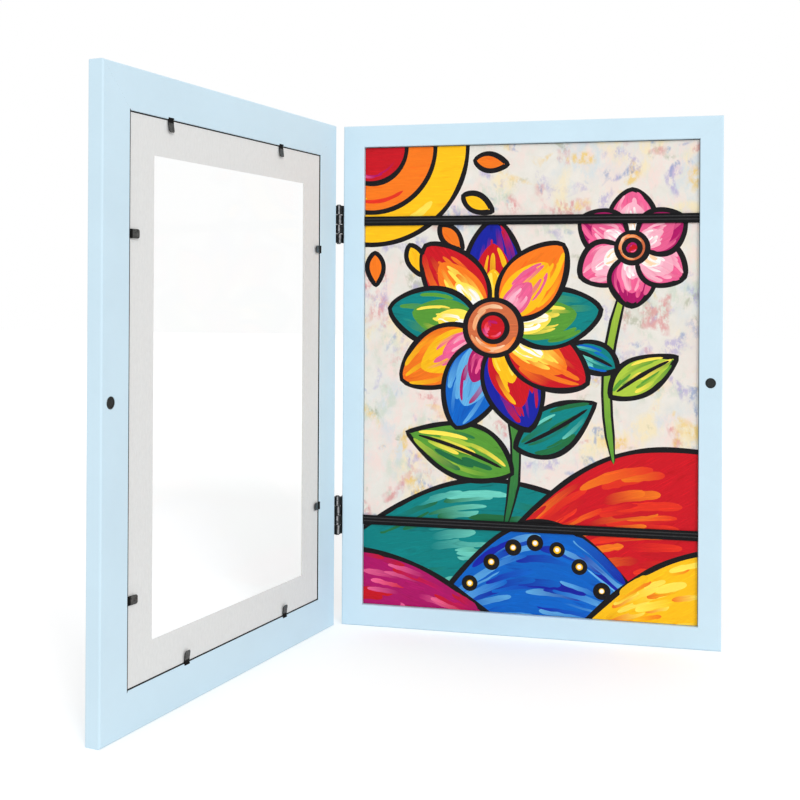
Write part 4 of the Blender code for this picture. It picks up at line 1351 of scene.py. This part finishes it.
def design(width, height):
    """Flowers over patchwork hills, under a sun in the corner."""
    canvas = Canvas(width, height)
    sun = (0.02, height / width)
    for radius, inks in SUN_RINGS:
        canvas.inked(circle(sun, radius), inks[0])
        canvas.strokes(ring(sun, radius * 0.72, radius * 0.92), inks, 16, radius * 0.07, 0.1)
    for number in range(5):
        degrees = -88 + number * 20
        ray = blade(Vector(sun) + spoke(degrees) * 0.325, degrees, 0.10, 0.026, RAY_TAPER)
        canvas.inked(border(ray, 26), ("orange", "amber")[number % 2], (ray(0, 0), ray(1, 0)))
    sea = ("teal", "teal", "forest", "mint")
    warm = ("crimson", "crimson", "scarlet", "scarlet", "orange")
    lake = ("royal", "royal", "cobalt", "sky")
    dusk = ("magenta", "magenta", "crimson", "rose")
    corn = ("amber", "amber", "orange", "lemon")
    paint_hill(canvas, hill(-0.05, 0.66, 0.20, 0.34, 0.12), sea, 60, 0.024)
    paint_hill(canvas, hill(0.30, 1.05, 0.04, 0.50, 0.17), warm, 80, 0.026)
    paint_stem(canvas, (0.44, 0.26), (0.40, 0.78), 0.05, 0.022, ("forest", "leaf"))
    paint_stem(canvas, (0.76, 0.46), (0.80, 1.02), -0.04, 0.018, ("leaf", "lime"))
    paint_leaf(canvas, (0.46, 0.42), 152, 0.34, 0.085, ("leaf", "lime", "forest", "lemon"), 0.05)
    paint_leaf(canvas, (0.47, 0.50), 22, 0.27, 0.070, ("teal", "mint", "forest"), 0.04)
    paint_leaf(canvas, (0.75, 0.66), 40, 0.22, 0.055, ("lime", "leaf", "lemon"), -0.03)
    paint_leaf(canvas, (0.77, 0.74), 150, 0.17, 0.045, ("teal", "royal", "mint"), 0.02)
    paint_hill(canvas, hill(0.20, 0.90, -0.02, -0.02, 0.30), lake, 64, 0.022)
    paint_hill(canvas, hill(-0.05, 0.42, 0.17, -0.03, 0.05), dusk, 34, 0.020)
    paint_hill(canvas, hill(0.66, 1.05, -0.03, 0.22, 0.05), corn, 34, 0.020)
    for number in range(7):
        place = hill(0.30, 0.76, 0.045, 0.045, 0.17)((number + 0.5) / 7, 1)
        canvas.inked(circle(place, 0.017, 36), "amber")
        canvas.add(circle(place, 0.006, 24), "white")
    paint_flower(canvas, (0.81, 1.10), 6, 0.145, 0.066, [
        ("rose", "blossom", "white", "sand"),
        ("magenta", "rose", "blossom", "white")], 0.045)
    paint_flower(canvas, (0.40, 0.86), 9, 0.275, 0.088, [
        ("cobalt", "crimson", "amber", "lemon"),
        ("crimson", "orange", "lemon", "white"),
        ("teal", "leaf", "lemon", "white"),
        ("orange", "amber", "rose", "blossom"),
        ("royal", "sky", "magenta", "rose")], 0.085)
    return canvas


def inside(places, outline):
    """Which of some places lie inside an outline, also where the outline crosses itself."""
    x, y = places[:, 0], places[:, 1]
    turns = numpy.zeros(len(places), dtype=int)
    for start, end in zip(outline, outline[1:] + outline[:1]):
        side = (end[0] - start[0]) * (y - start[1]) - (x - start[0]) * (end[1] - start[1])
        turns += (start[1] <= y) & (end[1] > y) & (side > 0)
        turns -= (start[1] > y) & (end[1] <= y) & (side < 0)
    return turns != 0


def flattened(canvas):
    """The canvas cut into faces, each with the topmost shape that covers it."""
    points, edges = [], []
    for outline, *_ in canvas.shapes:
        first, count = len(points), len(outline)
        edges += [(first + index, first + (index + 1) % count) for index in range(count)]
        points += [Vector(point) for point in outline]
    places, _, cells, *_ = delaunay_2d_cdt(points, edges, [], 0, MERGE_DISTANCE, False)
    centres = numpy.array([tuple(place) for place in places])[numpy.array(cells)].mean(axis=1)
    owners = numpy.full(len(cells), -1)
    for number, (outline, *_) in enumerate(canvas.shapes):
        edge = numpy.array(outline)
        near = numpy.all((centres >= edge.min(axis=0)) & (centres <= edge.max(axis=0)), axis=1)
        indices = numpy.nonzero(near)[0]
        owners[indices[inside(centres[indices], outline)]] = number
    on_sheet = inside(centres, canvas.shapes[0][0])
    return places, [(cell, int(owner)) for cell, owner, held in zip(cells, owners, on_sheet) if held]


def build_artwork():
    """Top sheet: the painted front, and the plain paper of its back and edges."""
    low, high = corners("artwork_sheet")
    low -= Vector((SHEET_SPREAD, 0, 0))
    high += Vector((SHEET_SPREAD, 0, SHEET_SPREAD))
    canvas = design(high.x - low.x, high.z - low.z)
    places, cells = flattened(canvas)
    sheet = bmesh.new()
    paint = sheet.loops.layers.float_color.new("paint")
    stroke = sheet.loops.layers.uv.new("stroke")
    vertices = {}
    for index in sorted({index for cell, _ in cells for index in cell}):
        vertices[index] = sheet.verts.new((low.x + places[index].x, low.y, low.z + places[index].y))
    for cell, owner in cells:
        _, ink, end_ink, start, end = canvas.shapes[owner]
        face = sheet.faces.new([vertices[index] for index in cell])
        face.material_index = 1 if owner else 0
        first, last = Vector(linear(INKS[ink])), Vector(linear(INKS[end_ink]))
        way = end - start
        unit = way.normalized() if way.length else Vector((1, 0))
        tint = random.Random(owner).uniform(*STROKE_TINTS)
        shifts = [shift * owner for shift in STROKE_SHIFTS]
        for loop, index in zip(face.loops, cell):
            place = places[index] - start
            share = min(max(place.dot(way) / (way.length_squared or 1), 0), 1)
            loop[paint] = (*(first.lerp(last, share) * tint), 1.0)
            loop[stroke].uv = (place.dot(unit) + shifts[0], place.cross(unit) + shifts[1])
    rim = [edge for edge in sheet.edges if edge.is_boundary]
    sides = bmesh.ops.extrude_edge_only(sheet, edges=rim)["geom"]
    behind = [item for item in sides if isinstance(item, bmesh.types.BMVert)]
    bmesh.ops.translate(sheet, verts=behind, vec=(0, high.y - low.y, 0))
    rim = [edge for edge in sheet.edges if edge.is_boundary]
    plain = [item for item in sides if isinstance(item, bmesh.types.BMFace)]
    for face in plain + bmesh.ops.edgeloop_fill(sheet, edges=rim)["faces"]:
        face.material_index = 2
    bmesh.ops.recalc_face_normals(sheet, faces=sheet.faces)
    piece("painted_sheet", sheet, "painted_paper", "artwork_sheet", GROUND, ACRYLIC, PAPER)


# The back


def domed_nail(node):
    """Headed nail with a crowned head."""
    head, length = span(node).x / 2, span(node).y
    outer, inner = [head * share for share in NAIL_DOME_SHARES]
    body = turned([
        (NAIL_SHANK_RADIUS * NAIL_POINT_SHARE, -length),
        (NAIL_SHANK_RADIUS, -length + head),
        (NAIL_SHANK_RADIUS, -SEAT_GAP * 2),
        (head * NAIL_NECK_SHARE, -SEAT_GAP * 2),
        (head, -SEAT_GAP),
        (outer, -NAIL_HEAD_CROWN / 2),
        (inner, 0),
    ])
    return moved(body, outer_face(node, BACK))


def build_back():
    """Brads and hanger nails, and new finishes for the board, the hangers and the corner nails."""
    for node in BACK_NAILS:
        piece(f"zinc_{node}", domed_nail(node), "bright_steel", node, ZINC)
    plated = ["hanger_portrait", "hanger_landscape"]
    for half in HALF_NAMES:
        plated += numbered(f"{half}_corner_nail", 4)
    for node in ["back_board"] + plated:
        finishes = frame["nodes"][node].data.materials
        finishes.clear()
        finishes.append(ZINC if node in plated else BOARD)


# Stage, light and camera


def build_stage():
    """White floor that keeps the shadows on it, and shows as white past them."""
    look = Look("studio_white", FLOOR_WHITE, 0.9)
    look.drive(Emission_Color=WHITE, Emission_Strength=look.product(look.shown(), FLOOR_GLOW))
    floor = bmesh.new()
    outline = rectangle((-FLOOR_REACH, -FLOOR_REACH), (FLOOR_REACH, FLOOR_REACH))
    floor.faces.new([floor.verts.new((x, y, 0)) for x, y in outline])
    plane = placed("studio_floor", meshed("studio_floor", floor))
    plane.data.materials.append(look.material)


def build_world():
    """White surroundings: seen as white, and a plain light on the frame."""
    world = bpy.data.worlds.new("studio_white_world")
    bpy.context.scene.world = world
    world.use_nodes = True
    nodes = Nodes(world.node_tree)
    strength = nodes.between(nodes.shown(), 0.0, 1.0, SURROUND_LIGHT, 1.0)
    nodes.fill(nodes.tree.nodes["Background"], WHITE, strength)


def build_light():
    """One wide soft lamp from the front right and above."""
    data = bpy.data.lights.new("key_light", "SUN")
    data.energy = KEY_LIGHT
    data.angle = math.radians(KEY_SPREAD_DEGREES)
    placed("key_light", data).rotation_euler = Vector(KEY_FROM).to_track_quat("Z", "Y").to_euler()


def build_camera():
    """Camera at the photograph's place, with its shift."""
    data = bpy.data.cameras.new("photo_camera")
    data.sensor_width = SENSOR_MILLIMETRES
    data.lens = FOCAL_PIXELS / PHOTO_PIXELS * SENSOR_MILLIMETRES
    across, down = PRINCIPAL_PIXELS
    data.shift_x = (PHOTO_PIXELS / 2 - across) / PHOTO_PIXELS
    data.shift_y = (down - PHOTO_PIXELS / 2) / PHOTO_PIXELS
    camera = placed("photo_camera", data)
    place = Matrix.Translation(CAMERA_PLACE)
    for degrees, axis in ((CAMERA_TURN_DEGREES, "Z"), (90, "X"), (CAMERA_ROLL_DEGREES, "Z")):
        place = place @ Matrix.Rotation(math.radians(degrees), 4, axis)
    camera.matrix_world = place
    bpy.context.scene.camera = camera


build_rails()
build_mat()
build_glazing()
build_tabs()
build_hinges()
build_magnets()
build_bands()
build_stack()
build_artwork()
build_back()
build_stage()
build_world()
build_light()
build_camera()
bpy.context.scene.view_settings.view_transform = "Standard"
